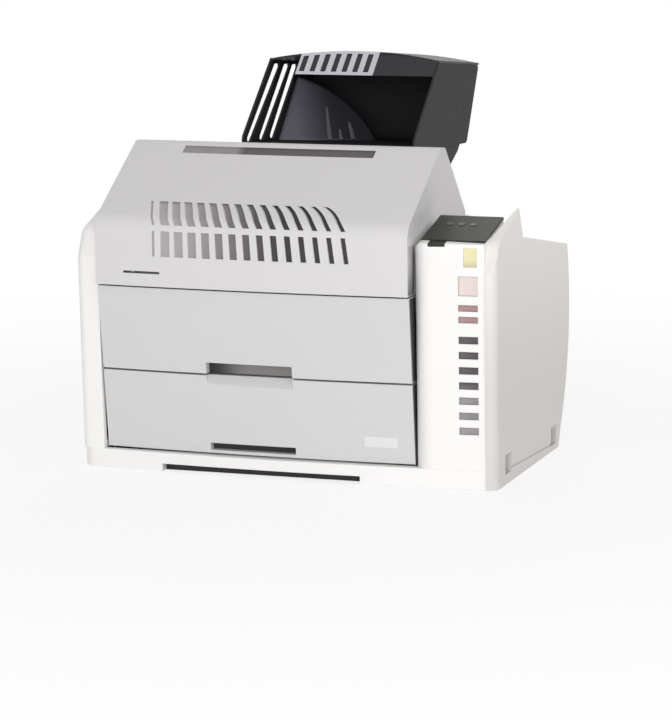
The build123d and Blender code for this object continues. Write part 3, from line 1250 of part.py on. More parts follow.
def shaft_places():
    """Axis (y, z) and radius of each cross shaft: platen, exit roller and the two pick rollers."""
    return [(PLATEN_Y, PLATEN_Z, SHAFT_R), (EXIT_Y, EXIT_Z, SHAFT_R),
            (PICK_Y, pick_z(LOWER_Z0), PICK_SHAFT_R), (PICK_Y, pick_z(UPPER_Z0), PICK_SHAFT_R)]


def make_frame_plate(x0):
    head_top = PLATEN_Z + PLATEN_R + HEAD_NIP + HEAD_H + 4
    front_y0 = TRAY_FRONT_Y + TRAY_WALL + 1.5
    rear_y = BASE_REAR_Y - 8
    deck_start = DECK_FRONT_Y + 1
    points = [
        (front_y0, BASE_FLOOR), (front_y0, BAR_Z + BAR_H), (FRONT_BAR_Y + BAR_DEPTH, BAR_Z + BAR_H),
        (MOTOR_Y - 20, head_top), (PLATEN_Y + HEAD_DEPTH / 2 + 6, head_top),
        (HINGE_Y - HINGE_BOSS_R, HINGE_Z + HINGE_EAR),
        (HINGE_Y + HINGE_EAR_REAR - HINGE_EAR_CUT, HINGE_Z + HINGE_EAR),
        (HINGE_Y + HINGE_EAR_REAR, HINGE_Z + HINGE_EAR - HINGE_EAR_CUT),
        (HINGE_Y + HINGE_EAR_REAR, HINGE_Z - HINGE_BOSS_R), (deck_start, HINGE_Z - 2 * HINGE_BOSS_R),
        (deck_start, deck_z(deck_start) - SKIN), (rear_y, deck_z(rear_y) - SKIN),
        (rear_y, BASE_FLOOR),
    ]
    plate = prism_x(points, x0, x0 + FRAME_T)
    plate = plate - rod_x(x0 - 1, x0 + FRAME_T + 1, HINGE_Y, HINGE_Z, HINGE_PIN_R + PIN_CLEAR)
    for y, z, _ in shaft_places():
        plate = plate - rod_x(x0 - 1, x0 + FRAME_T + 1, y, z, BEARING_R + PIN_CLEAR)
    return plate


def make_shaft_bearings():
    rings = []
    for y, z, r in shaft_places():
        for x0, x1 in ((PLATE_X0, PLATE_X0 + BEARING_T), (PLATE_X1 - BEARING_T, PLATE_X1)):
            rings.append(rod_x(x0, x1, y, z, BEARING_R) - rod_x(x0 - 1, x1 + 1, y, z, r + PIN_CLEAR))
    return rings


def make_crossbars():
    rear = GUIDE_Y - BAR_DEPTH
    spots = [(FRONT_BAR_Y, BAR_Z), (MOTOR_Y - BAR_DEPTH / 2, BAR_Z),
             (rear, LOWER_Z1 - 4 * BAR_H), (rear, UPPER_Z1 - 4 * BAR_H)]
    return [box(INNER_X0, INNER_X1, y, y + BAR_DEPTH, z, z + BAR_H) for y, z in spots]


def make_bay_rails():
    rails = []
    for z0 in (LOWER_Z0, UPPER_Z0):
        for x0, x1 in ((INNER_X0, INNER_X0 + RAIL_W), (INNER_X1 - RAIL_W, INNER_X1)):
            rails.append(box(x0, x1, TRAY_FRONT_Y + 8, TRAY_REAR_Y, z0 + RAIL_Z, z0 + RAIL_Z + RAIL_H))
    return rails


def make_film_guide():
    y = GUIDE_Y
    points = [(y + GUIDE_T, LOWER_Z0), (y + GUIDE_T, GUIDE_TOP_Z), (EXIT_Y + 14, GUIDE_TOP_Z),
              (EXIT_Y + 14, GUIDE_TOP_Z - GUIDE_T), (y, GUIDE_TOP_Z - GUIDE_T), (y, LOWER_Z0)]
    return prism_x(points, HOOD_X0 + HOOD_WALL, HOOD_X1 - HOOD_WALL,
                   (0, GUIDE_R, 0, 0, GUIDE_R - GUIDE_T, 0))


def make_print_head():
    z0 = PLATEN_Z + PLATEN_R + HEAD_NIP
    y0, y1 = PLATEN_Y - HEAD_DEPTH / 2, PLATEN_Y + HEAD_DEPTH / 2
    head = box(INNER_X0, INNER_X1, y0, y1, z0, z0 + HEAD_H)
    fin_x0, fin_x1 = BLOCK_MID - PLATEN_LENGTH / 2, BLOCK_MID + PLATEN_LENGTH / 2
    pitch = HEAD_DEPTH / FIN_COUNT
    for i in range(FIN_COUNT):
        y = y0 + (i + 0.5) * pitch
        head = head + box(fin_x0, fin_x1, y - 1, y + 1, z0 + HEAD_H - 1, z0 + HEAD_H + FIN_H)
    return head


def make_platen():
    half = PLATEN_LENGTH / 2
    roller = rod_x(BLOCK_MID - half, BLOCK_MID + half, PLATEN_Y, PLATEN_Z, PLATEN_R)
    return roller + rod_x(PLATE_X0 + PLATEN_SHAFT_SET, PLATE_X1 - PLATEN_SHAFT_SET, PLATEN_Y, PLATEN_Z, SHAFT_R)


def mesh_angle():
    """Direction from the platen's axis to the motor's, in degrees from +Y towards +Z."""
    return math.degrees(math.atan2(MOTOR_Z - PLATEN_Z, MOTOR_Y - PLATEN_Y))


def make_platen_gear():
    return gear_x(GEAR_TEETH, GEAR_X0, GEAR_X0 + GEAR_W, PLATEN_Y, PLATEN_Z, SHAFT_R, mesh_angle())


def make_motor_pinion():
    phase = mesh_angle() + 180 + 180 / PINION_TEETH
    return gear_x(PINION_TEETH, GEAR_X0, GEAR_X0 + GEAR_W, MOTOR_Y, MOTOR_Z, MOTOR_SHAFT_R + PIN_CLEAR, phase)


def make_drive_motors():
    x1 = GEAR_X0 - 3
    x0 = x1 - MOTOR_LENGTH
    main = rod_x(x0, x1, MOTOR_Y, MOTOR_Z, MOTOR_R)
    main = main + box(x0 + 4, x1 - 4, MOTOR_Y - 16, MOTOR_Y + 16, BAR_Z + BAR_H, MOTOR_Z)
    main = main + rod_x(x1 - 1, GEAR_X0 + GEAR_W, MOTOR_Y, MOTOR_Z, MOTOR_SHAFT_R)
    motors = [main]
    for y, z, r in shaft_places()[1:]:
        m0 = INNER_X1 - BEARING_T + FRAME_T - SMALL_MOTOR_LENGTH
        m1 = m0 + SMALL_MOTOR_LENGTH
        motors.append(rod_x(m0, m1, y, z, SMALL_MOTOR_R) - rod_x(m0 - 1, m1 + 1, y, z, r + PIN_CLEAR))
    return motors


def make_exit_roller():
    x0, x1 = HOOD_X0 + 4 * HOOD_WALL, HOOD_X1 - 4 * HOOD_WALL
    roller = rod_x(x0, x1, EXIT_Y, EXIT_Z, EXIT_R)
    return roller + rod_x(PLATE_X0 + 0.5, PLATE_X1 - 0.5, EXIT_Y, EXIT_Z, SHAFT_R)


def make_pick_roller(z0):
    half = PICK_LENGTH / 2
    z = pick_z(z0)
    roller = rod_x(BLOCK_MID - half, BLOCK_MID + half, PICK_Y, z, PICK_R)
    return roller + rod_x(PLATE_X0 + 0.5, PLATE_X1 - 0.5, PICK_Y, z, PICK_SHAFT_R)


def make_hinge_brackets():
    spans = ((INNER_X0, INNER_X0 + BRACKET_T), (INNER_X1 - BRACKET_T, INNER_X1))
    return [rod_x(x0, x1, HINGE_Y, HINGE_Z, HINGE_BOSS_R - 1.5)
            - rod_x(x0 - 1, x1 + 1, HINGE_Y, HINGE_Z, HINGE_PIN_R + PIN_CLEAR) for x0, x1 in spans]


def make_hinge_pins():
    return [rod_x(BLOCK_X0 + 0.5, INNER_X0 + BRACKET_T, HINGE_Y, HINGE_Z, HINGE_PIN_R),
            rod_x(INNER_X1 - BRACKET_T, BLOCK_X1 - 0.5, HINGE_Y, HINGE_Z, HINGE_PIN_R)]


def make_cover_buffers():
    y = FRONT_BAR_Y + BAR_DEPTH / 2
    z = BAR_Z + BAR_H
    return [Pos(x, y, z + BUFFER_H / 2) * Cylinder(BUFFER_R, BUFFER_H) for x in buffer_places()]


# Column inside
def make_column_frame():
    y0, y1 = COLUMN_REAR_Y, FAN_Y + FRAME_T
    top0, top1 = right_deck_z(y0) - SKIN, right_deck_z(y1) - SKIN
    wall = prism_x([(y0, BASE_FLOOR), (y0, top0), (y1, top1), (y1, BASE_FLOOR)],
                   COLUMN_X0, COLUMN_X0 + FRAME_T)
    right = COLUMN_X1 - 2 * SKIN
    floor = box(COLUMN_X0, right, y0, y1, BASE_FLOOR, BASE_FLOOR + FRAME_T)
    back = box(COLUMN_X0, right, FAN_Y, y1, BASE_FLOOR, top1)
    return wall + floor + back - rod_y(FAN_X, FAN_Y - 1, y1 + 1, FAN_Z, FAN_SIZE / 2 - 4)


def make_fan_housing():
    y0 = FAN_Y + FRAME_T
    half = FAN_SIZE / 2
    case = box(FAN_X - half, FAN_X + half, y0, y0 + FAN_T, FAN_Z - half, FAN_Z + half)
    case = case - rod_y(FAN_X, y0 - 1, y0 + FAN_T + 1, FAN_Z, half - 3)
    strut_y = y0 + FAN_T - 3
    case = case + rod_y(FAN_X, strut_y, y0 + FAN_T, FAN_Z, FAN_HUB_R)
    for turn in (45, 135):
        bar = Pos(FAN_X, strut_y + 1.5, FAN_Z) * Rot(0, turn, 0) * Box(FAN_SIZE - 5, 3, 4)
        case = case + bar
    return case + rod_y(FAN_X, y0 + 4, strut_y + 1, FAN_Z, FAN_PIN_R)


def make_fan_rotor():
    y0 = FAN_Y + FRAME_T + 3
    y1 = FAN_Y + FRAME_T + FAN_T - 3 - RUN_CLEAR
    rotor = rod_y(FAN_X, y0, y1, FAN_Z, FAN_HUB_R)
    blade_r = FAN_SIZE / 2 - 5
    span = blade_r - FAN_HUB_R + 2
    for i in range(FAN_BLADES):
        blade = Pos(0, (y0 + y1) / 2, (FAN_HUB_R + blade_r) / 2 - 1) * Rot(0, 0, 40) * Box(20, 2, span)
        rotor = rotor + Pos(FAN_X, 0, FAN_Z) * Rot(0, i * 360 / FAN_BLADES, 0) * blade
    rotor = rotor & box(FAN_X - FAN_SIZE, FAN_X + FAN_SIZE, y0, y1, FAN_Z - FAN_SIZE, FAN_Z + FAN_SIZE)
    return rotor - rod_y(FAN_X, y0 + 1, y1 + 1, FAN_Z, FAN_PIN_R + PIN_CLEAR)


def make_power_supply():
    x0, x1 = COLUMN_X0 + FRAME_T + 1, COLUMN_X1 - 2 * SKIN
    z0 = BASE_FLOOR + FRAME_T
    y0 = COLUMN_REAR_Y + 10
    return box(x0, x1, y0, y0 + SUPPLY_LENGTH, z0, z0 + SUPPLY_H)


def make_control_board():
    x0 = COLUMN_X0 + FRAME_T
    y0, y1 = COLUMN_REAR_Y + BOARD_MARGIN, FAN_Y - BOARD_MARGIN
    z0 = BASE_FLOOR + SUPPLY_H + BOARD_LIFT
    z1 = right_deck_z(y1) - BOARD_LIFT
    board = box(x0 + BOARD_STANDOFF, x0 + BOARD_STANDOFF + BOARD_T, y0, y1, z0, z1)
    for y in (y0 + STANDOFF_INSET, y1 - STANDOFF_INSET):
        for z in (z0 + STANDOFF_INSET, z1 - STANDOFF_INSET):
            board = board + rod_x(x0, x0 + BOARD_STANDOFF + 1, y, z, STANDOFF_R)
    chip_x = x0 + BOARD_STANDOFF + BOARD_T
    for share_y, share_z in CHIP_SHARES:
        y, z = y0 + share_y * (y1 - y0), z0 + share_z * (z1 - z0)
        board = board + box(chip_x - 1, chip_x + CHIP_H, y - CHIP_SIZE / 2, y + CHIP_SIZE / 2,
                            z - CHIP_SIZE / 2, z + CHIP_SIZE / 2)
    return board


def make_cover_screws():
    heads = []
    inset = 6.0
    px0, px1 = SOCKET_PANEL_X0 + inset, SOCKET_PANEL_X0 + SOCKET_PANEL_WIDTH - inset
    pz0, pz1 = SOCKET_PANEL_Z0 + inset, SOCKET_PANEL_Z0 + SOCKET_PANEL_H - inset
    for x in (px0, px1):
        for z in (pz0, pz1):
            heads.append(rod_y(x, SOCKET_PANEL_Y, SOCKET_PANEL_Y + SCREW_HEAD, z, SCREW_R))
    deck_low, deck_high = SIDE_REAR_TOP_Z, deck_z(DECK_REAR_Y)
    for x in (BLOCK_X0 + 40, HOOD_X0 - 20, HOOD_X1 + 20, BLOCK_X1 - 40):
        heads.append(rod_y(x, DECK_REAR_Y, DECK_REAR_Y + SCREW_HEAD, (deck_low + deck_high) / 2 - 2, SCREW_R))
    return heads


NODES = {
    "base_pan": make_base_pan,
    "foot_pads": make_foot_pads,
    "left_side_cover": make_left_side_cover,
    "right_side_cover": make_right_side_cover,
    "column_front": make_column_front,
    "console_glass": make_console_glass,
    "display_module": make_display,
    "status_lamp": make_status_lamp,
    "vent_backing": make_vent_backing,
    "rear_cover": make_rear_cover,
    "rear_deck": make_rear_deck,
    "right_deck": make_right_deck,
    "hood_left_wall": make_hood_left_wall,
    "hood_right_wall": lambda: make_hood_wall(HOOD_X1 - HOOD_WALL),
    "hood_top": make_hood_top,
    "hood_back": make_hood_back,
    "output_tray": make_output_tray,
    "hood_neck": make_hood_neck,
    "hood_vent_band": make_hood_vent_band,
    "frame_left_plate": lambda: make_frame_plate(PLATE_X0),
    "frame_right_plate": lambda: make_frame_plate(INNER_X1),
    "frame_crossbars": make_crossbars,
    "column_frame": make_column_frame,
    "control_board": make_control_board,
    "power_supply": make_power_supply,
    "power_inlet": make_power_inlet,
    "network_socket": make_network_socket,
    "bay_rails": make_bay_rails,
    "print_head": make_print_head,
    "film_guide": make_film_guide,
    "shaft_bearings": make_shaft_bearings,
    "drive_motors": make_drive_motors,
    "fan_housing": make_fan_housing,
    "cover_screws": make_cover_screws,
    "hinge_brackets": make_hinge_brackets,
    "hinge_pins": make_hinge_pins,
    "cover_buffers": make_cover_buffers,
    "top_cover": make_top_cover,
    "cover_grip_strip": make_cover_grip,
    "grille_backing": make_grille_backing,
    "upper_drawer_front": make_upper_front,
    "upper_drawer_tray": lambda: make_tray(UPPER_Z0, UPPER_Z1),
    "upper_grip_liner": make_upper_liner,
    "upper_lift_plate": lambda: make_lift_plate(UPPER_Z0),
    "lower_drawer_front": make_lower_front,
    "lower_drawer_tray": lambda: make_tray(LOWER_Z0, LOWER_Z1),
    "lower_grip_liner": make_lower_liner,
    "lower_lift_plate": lambda: make_lift_plate(LOWER_Z0),
    "label_plate": make_label_plate,
    "platen_roller": make_platen,
    "platen_gear": make_platen_gear,
    "motor_pinion": make_motor_pinion,
    "exit_roller": make_exit_roller,
    "pick_roller_upper": lambda: make_pick_roller(UPPER_Z0),
    "pick_roller_lower": lambda: make_pick_roller(LOWER_Z0),
    "fan_rotor": make_fan_rotor,
    "power_rocker": make_power_rocker,
    "key_left": lambda: make_key(key_places()[0]),
    "key_middle": lambda: make_key(key_places()[1]),
    "key_right": lambda: make_key(key_places()[2]),
}

os.makedirs("parts", exist_ok=True)
for name, make in NODES.items():
    made = make()
    if isinstance(made, list):
        made = Compound(children=[solid for shape in made for solid in shape.solids()])
    made.label = name
    export_step(made, f"parts/{name}.step")
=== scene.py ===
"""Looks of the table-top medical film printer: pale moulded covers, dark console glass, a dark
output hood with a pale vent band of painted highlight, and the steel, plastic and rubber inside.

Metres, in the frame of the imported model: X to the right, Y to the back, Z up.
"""
import json
import math

import bmesh
import bpy
import numpy as np
from mathutils import Matrix, Vector
from mathutils.bvhtree import BVHTree


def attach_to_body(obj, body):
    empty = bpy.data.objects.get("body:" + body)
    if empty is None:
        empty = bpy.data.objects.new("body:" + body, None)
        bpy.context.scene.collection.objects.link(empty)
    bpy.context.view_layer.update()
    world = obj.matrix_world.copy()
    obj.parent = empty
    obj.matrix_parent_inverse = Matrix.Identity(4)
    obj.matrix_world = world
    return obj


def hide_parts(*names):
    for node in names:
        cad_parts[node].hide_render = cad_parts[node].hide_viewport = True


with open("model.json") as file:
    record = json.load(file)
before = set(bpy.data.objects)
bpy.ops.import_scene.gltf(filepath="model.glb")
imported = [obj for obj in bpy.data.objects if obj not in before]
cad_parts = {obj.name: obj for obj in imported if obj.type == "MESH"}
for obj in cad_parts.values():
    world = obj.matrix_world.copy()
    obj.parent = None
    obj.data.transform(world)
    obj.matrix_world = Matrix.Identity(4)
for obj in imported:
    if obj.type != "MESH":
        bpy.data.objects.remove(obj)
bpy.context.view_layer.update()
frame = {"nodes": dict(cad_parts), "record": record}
NODES = frame["nodes"]
RECORD = frame["record"]
SLOT_OF = {part["node"]: part["material_slot"] for part in RECORD["subparts"]}
BODIES = RECORD["behaviour"]["bodies"]
BODY_OF = {node: body for body, nodes in BODIES.items() for node in nodes}

ALONG_X = (1.0, 0.0, 0.0)
ALONG_Z = (0.0, 0.0, 1.0)
WHITE = (1.0, 1.0, 1.0, 1.0)

# Camera, from the photograph
CAMERA_PLACE = Vector((1.699, -4.939, 1.042))
CAMERA_AZIMUTH = 18.9
CAMERA_ELEVATION = 9.6
CAMERA_ROLL = -0.4
CAMERA_LENS = 154.2
CAMERA_REACH = 100.0
SENSOR = 36.0


def new_object(name, data):
    """Object of the data, linked to the scene."""
    item = bpy.data.objects.new(name, data)
    bpy.context.scene.collection.objects.link(item)
    return item


def place_camera():
    """Camera at the photograph's viewpoint, turned by azimuth, elevation and a slight roll."""
    data = bpy.data.cameras.new("camera")
    data.lens = CAMERA_LENS
    data.sensor_width = SENSOR
    data.clip_end = CAMERA_REACH
    camera = new_object("camera", data)
    bpy.context.scene.camera = camera
    a, e, r = (math.radians(v) for v in (CAMERA_AZIMUTH, CAMERA_ELEVATION, CAMERA_ROLL))
    back = Vector((math.sin(a) * math.cos(e), -math.cos(a) * math.cos(e), math.sin(e)))
    level = Vector((math.cos(a), math.sin(a), 0))
    upright = back.cross(level)
    right = math.cos(r) * level + math.sin(r) * upright
    up = math.cos(r) * upright - math.sin(r) * level
    turn = Matrix((right, up, back)).transposed().to_4x4()
    camera.matrix_world = Matrix.Translation(CAMERA_PLACE) @ turn


def linear(red, green, blue):
    """Linear colour of an 8-bit display colour."""
    shares = np.array((red, green, blue)) / 255
    value = np.where(shares <= 0.04045, shares / 12.92, ((shares + 0.055) / 1.055) ** 2.4)
    return (*value, 1.0)


# Shader building
SURFACE_OUTPUTS = {"Colour": "NodeSocketColor", "Roughness": "NodeSocketFloat",
                   "Normal": "NodeSocketVector"}


def new_group(name, inputs):
    """Empty surface group with float or colour inputs {name: value}; its inputs and outputs."""
    tree = bpy.data.node_groups.new(name, "ShaderNodeTree")
    for label, value in inputs.items():
        kind = "NodeSocketColor" if isinstance(value, tuple) else "NodeSocketFloat"
        socket = tree.interface.new_socket(label, in_out="INPUT", socket_type=kind)
        socket.default_value = value
    for label, kind in SURFACE_OUTPUTS.items():
        tree.interface.new_socket(label, in_out="OUTPUT", socket_type=kind)
    return tree, tree.nodes.new("NodeGroupInput").outputs, tree.nodes.new("NodeGroupOutput").inputs


def add(tree, kind, values=None, **settings):
    """New node with its settings, and values or links by input name or index."""
    node = tree.nodes.new(kind)
    for key, value in settings.items():
        setattr(node, key, value)
    for key, value in (values or {}).items():
        socket = node.inputs[key]
        if isinstance(value, bpy.types.NodeSocket):
            tree.links.new(value, socket)
        else:
            socket.default_value = value
    return node


def noise(tree, where, scale, detail=3.0, roughness=0.5):
    """Noise value, about 0 to 1, at a place."""
    values = {"Vector": where, "Scale": scale, "Detail": detail, "Roughness": roughness}
    return add(tree, "ShaderNodeTexNoise", values).outputs["Fac"]


def math_node(tree, operation, *values):
    """Result of a math node on values or sockets."""
    return add(tree, "ShaderNodeMath", dict(enumerate(values)), operation=operation).outputs[0]


def swing(tree, value, reach):
    """(value - 0.5) * reach."""
    return math_node(tree, "MULTIPLY", math_node(tree, "SUBTRACT", value, 0.5), reach)


def ramp(tree, value, start, end, low=0.0, high=1.0, **settings):
    """Value from start..end mapped onto low..high, and held there beyond them."""
    values = {0: value, 1: start, 2: end, 3: low, 4: high}
    return add(tree, "ShaderNodeMapRange", values, **settings).outputs[0]


def outlet(tree, given, out, colour_change, roughness, bump):
    """Links a group's outputs: its colour times (1 + change), its roughness and a bumped normal."""
    lift = math_node(tree, "ADD", colour_change, 1.0)
    colour = add(tree, "ShaderNodeVectorMath", {0: given["Colour"], "Scale": lift},
                 operation="SCALE").outputs[0]
    normal = add(tree, "ShaderNodeBump", bump).outputs[0]
    for label, socket in (("Colour", colour), ("Roughness", roughness), ("Normal", normal)):
        tree.links.new(socket, out[label])


BROAD_SPOTS = 6.0
BROAD_SHARE = 0.7
CRISP_POINTINESS = (0.52, 0.60)
MOULD_ROUGHNESS_SWING = 0.12
HANDLED_POLISH = 0.4
GRAIN_HEIGHT = 0.0002


def moulded_group():
    """Moulded plastic: fine grain, faint mottling, and handled edges lighter and smoother."""
    tree, given, out = new_group("moulded_surface", {
        "Colour": (0.8, 0.8, 0.8, 1.0), "Mottle": 0.02, "Mottle per metre": 60.0,
        "Grain per metre": 900.0, "Grain depth": 0.15, "Roughness": 0.45, "Edge light": 0.0})
    where = add(tree, "ShaderNodeTexCoord").outputs["Object"]
    grain = noise(tree, where, given["Grain per metre"], 2.0, 0.6)
    broad = noise(tree, where, BROAD_SPOTS, 3.0, 0.55)
    fine = noise(tree, where, given["Mottle per metre"], 4.0, 0.6)
    mixed = math_node(tree, "ADD", math_node(tree, "MULTIPLY", broad, BROAD_SHARE),
                      math_node(tree, "MULTIPLY", fine, 1.0 - BROAD_SHARE))
    pointed = add(tree, "ShaderNodeNewGeometry").outputs["Pointiness"]
    edge = math_node(tree, "MULTIPLY", ramp(tree, pointed, *CRISP_POINTINESS), given["Edge light"])
    change = math_node(tree, "ADD", swing(tree, mixed, given["Mottle"]), edge)
    rough = math_node(tree, "ADD", given["Roughness"], swing(tree, fine, MOULD_ROUGHNESS_SWING))
    rough = math_node(tree, "SUBTRACT", rough, math_node(tree, "MULTIPLY", edge, HANDLED_POLISH))
    bump = {"Strength": given["Grain depth"], "Distance": GRAIN_HEIGHT, "Height": grain}
    outlet(tree, given, out, change, rough, bump)
    return tree


STROKE_STRETCH = (8.0, 420.0, 420.0)
CLOUD_SPOTS = 14.0
CLOUD_CONTRAST = 0.1
CLOUD_ROUGHNESS_SWING = 0.25
STROKE_HEIGHT = 0.0001
STROKE_DEPTH = 0.1


def brushed_group():
    """Sheet metal: long fine strokes along X, and a faint cloud in the colour and roughness."""
    tree, given, out = new_group("sheet_metal_surface", {
        "Colour": (0.6, 0.6, 0.6, 1.0), "Stroke contrast": 0.08, "Roughness": 0.35,
        "Stroke depth": STROKE_DEPTH})
    where = add(tree, "ShaderNodeTexCoord").outputs["Object"]
    stretch = add(tree, "ShaderNodeMapping", {"Vector": where, "Scale": STROKE_STRETCH}).outputs[0]
    strokes = noise(tree, stretch, 1.0, 3.0, 0.6)
    cloud = noise(tree, where, CLOUD_SPOTS)
    change = math_node(tree, "ADD", swing(tree, strokes, given["Stroke contrast"]),
                       swing(tree, cloud, CLOUD_CONTRAST))
    rough = math_node(tree, "ADD", given["Roughness"], swing(tree, cloud, CLOUD_ROUGHNESS_SWING))
    bump = {"Strength": given["Stroke depth"], "Distance": STROKE_HEIGHT, "Height": strokes}
    outlet(tree, given, out, change, rough, bump)
    return tree


GROUPS = {"moulded": moulded_group(), "brushed": brushed_group()}
COAT_ROUGHNESS = 0.08
MATERIALS = {}


def surface(name, group, values, metallic=0.0, specular=0.5, coat=0.0):
    """Material whose colour, roughness and normal come from one of the groups."""
    material = bpy.data.materials.new(name)
    material.use_nodes = True
    tree = material.node_tree
    shader = tree.nodes["Principled BSDF"]
    source = add(tree, "ShaderNodeGroup", node_tree=GROUPS[group])
    for key, value in values.items():
        source.inputs[key].default_value = value
    tree.links.new(source.outputs["Colour"], shader.inputs["Base Color"])
    tree.links.new(source.outputs["Roughness"], shader.inputs["Roughness"])
    tree.links.new(source.outputs["Normal"], shader.inputs["Normal"])
    shader.inputs["Metallic"].default_value = metallic
    shader.inputs["Specular IOR Level"].default_value = specular
    shader.inputs["Coat Weight"].default_value = coat
    shader.inputs["Coat Roughness"].default_value = COAT_ROUGHNESS
    MATERIALS[name] = material
    return tree, source


def plastic(name, colour, roughness, mottle=0.02, spots=60.0, grain=900.0, depth=0.15, edge=0.0,
            **more):
    """Moulded plastic, rubber or board of one colour."""
    values = {"Colour": colour, "Mottle": mottle, "Mottle per metre": spots,
              "Grain per metre": grain, "Grain depth": depth, "Roughness": roughness,
              "Edge light": edge}
    return surface(name, "moulded", values, **more)


def metal(name, colour, roughness):
    """Brushed sheet metal."""
    surface(name, "brushed", {"Colour": colour, "Roughness": roughness}, metallic=1.0)


def graded(name, near, far, direction, start, end, roughness, **more):
    """Plastic whose colour goes from near to far as position . direction goes from start to end."""
    tree, source = plastic(name, near, roughness, **more)
    where = add(tree, "ShaderNodeTexCoord").outputs["Object"]
    along = add(tree, "ShaderNodeVectorMath", {0: where, 1: direction},
                operation="DOT_PRODUCT").outputs["Value"]
    share = ramp(tree, along, start, end, interpolation_type="SMOOTHSTEP")
    mix = add(tree, "ShaderNodeMix", {0: share, 6: near, 7: far}, data_type="RGBA")
    tree.links.new(mix.outputs[2], source.inputs["Colour"])


# Finishes named after the record's material slots
plastic("shell_white", linear(250, 249, 248), 0.42, mottle=0.012)
plastic("shell_grey", linear(216, 216, 218), 0.45)
# side_grey carries painted shade: darker towards the bottom and front, lighter towards the top and
# rear.
graded("side_grey", linear(222, 219, 216), linear(248, 246, 242), (0.0, 0.15, 1.0), 0.10, 0.46,
       0.45)
plastic("hood_dark", linear(46, 46, 49), 0.6, mottle=0.1, edge=0.5, specular=0.2)
plastic("console_dark", linear(56, 59, 53), 0.38, mottle=0.05, depth=0.0, specular=0.12)
plastic("display", linear(88, 96, 88), 0.2, mottle=0.05, depth=0.0)
graded("amber", linear(216, 209, 168), linear(240, 233, 184), ALONG_Z, 0.366, 0.378, 0.3,
       mottle=0.15, depth=0.02, coat=0.2)
plastic("inner_dark", linear(92, 92, 95), 0.6, mottle=0.08)
metal("frame_steel", linear(200, 202, 205), 0.42)
metal("bare_aluminium", linear(222, 223, 226), 0.36)
plastic("black_plastic", linear(34, 34, 35), 0.5, mottle=0.1, edge=0.5)
plastic("gear_plastic", linear(232, 228, 214), 0.4, mottle=0.03, depth=0.05)
plastic("rubber", linear(38, 38, 39), 0.72, mottle=0.15, grain=600.0, depth=0.3)
plastic("circuit", linear(30, 92, 56), 0.35, mottle=0.2, grain=300.0, coat=0.3)
plastic("label_white", linear(232, 232, 232), 0.35, depth=0.03)
plastic("rocker", linear(24, 24, 25), 0.18, mottle=0.05, depth=0.02, coat=0.4)

# Finishes of single nodes and added pieces
plastic("cover_grey", linear(222, 220, 221), 0.45)
# Vent band: pale bars painted in for the highlight streaks on the glossy dark hood (painted
# highlight).
plastic("vent_band_highlight", linear(206, 204, 212), 0.35, mottle=0.3, grain=300.0)
plastic("key_dark", linear(74, 77, 70), 0.35, mottle=0.05, specular=0.3)
# Column front: painted shade, greyer towards its rounded left edge.
graded("column_white_edge_shade", linear(227, 226, 226), linear(250, 249, 248), ALONG_X, 0.229, 0.262, 0.42,
       mottle=0.012)
graded("grille_grey", linear(176, 172, 173), linear(58, 54, 56), ALONG_X, -0.20, 0.02, 0.6,
       mottle=0.25)
graded("grip_shade", linear(30, 29, 29), linear(128, 124, 124), ALONG_X, -0.125, -0.06, 0.5,
       mottle=0.2)
graded("strip_mixed", linear(150, 146, 148), linear(98, 93, 95), ALONG_X, -0.13, -0.11, 0.5,
       mottle=0.25)
# Film rest: painted light and shade, lit bluish grey at its lower left, darkening as painted shade
# towards the right and top.
graded("rest_lit_and_shaded", linear(134, 130, 144), linear(56, 54, 61), (1.0, 0.0, 0.5), 0.055, 0.175, 0.5,
       mottle=0.15)
plastic("rib_grey", linear(122, 119, 125), 0.5, mottle=0.1)
graded("insert_grey", linear(150, 147, 149), linear(84, 80, 82), ALONG_Z, 0.15, 0.175, 0.5,
       mottle=1.6, spots=240.0)
plastic("insert_red", linear(166, 134, 135), 0.5, mottle=1.2, spots=240.0)
plastic("insert_rose", linear(230, 217, 213), 0.4, mottle=0.2, spots=120.0)
# Notch floors: painted shade, darker towards the bottom.
graded("notch_painted_shade", linear(128, 124, 124), linear(176, 172, 170), ALONG_Z, 0.015, 0.05, 0.6,
       mottle=0.1)
# Dark insides of the lifting slot and the lower grip: painted shadow.
plastic("slot_painted_shadow", linear(60, 57, 58), 0.7, mottle=0.2, specular=0.2)
# Dark strips in the gaps beside the drawer fronts: painted shade.
plastic("gap_painted_shade", linear(70, 69, 71), 0.6, mottle=0.1)
# Strip beside the top cover: painted shade, darker towards the bottom.
graded("gap_shade_graded", linear(112, 110, 112), linear(178, 175, 178), ALONG_Z, 0.31, 0.37, 0.6,
       mottle=0.1)

OWN_FINISH = {"top_cover": "cover_grey", "column_front": "column_white_edge_shade",
              "hood_vent_band": "vent_band_highlight", "grille_backing": "grille_grey",
              "upper_grip_liner": "grip_shade", "lower_grip_liner": "slot_painted_shadow",
              "cover_grip_strip": "strip_mixed", "key_left": "key_dark",
              "key_middle": "key_dark", "key_right": "key_dark"}
FINISH_OF = {**SLOT_OF, **OWN_FINISH}


def dress(piece, finish):
    """Gives a piece or a CAD node the material of a finish."""
    material = MATERIALS[finish]
    if piece.material_slots:
        for place in piece.material_slots:
            place.material = material
    else:
        piece.data.materials.append(material)


for node, item in NODES.items():
    dress(item, FINISH_OF[node])


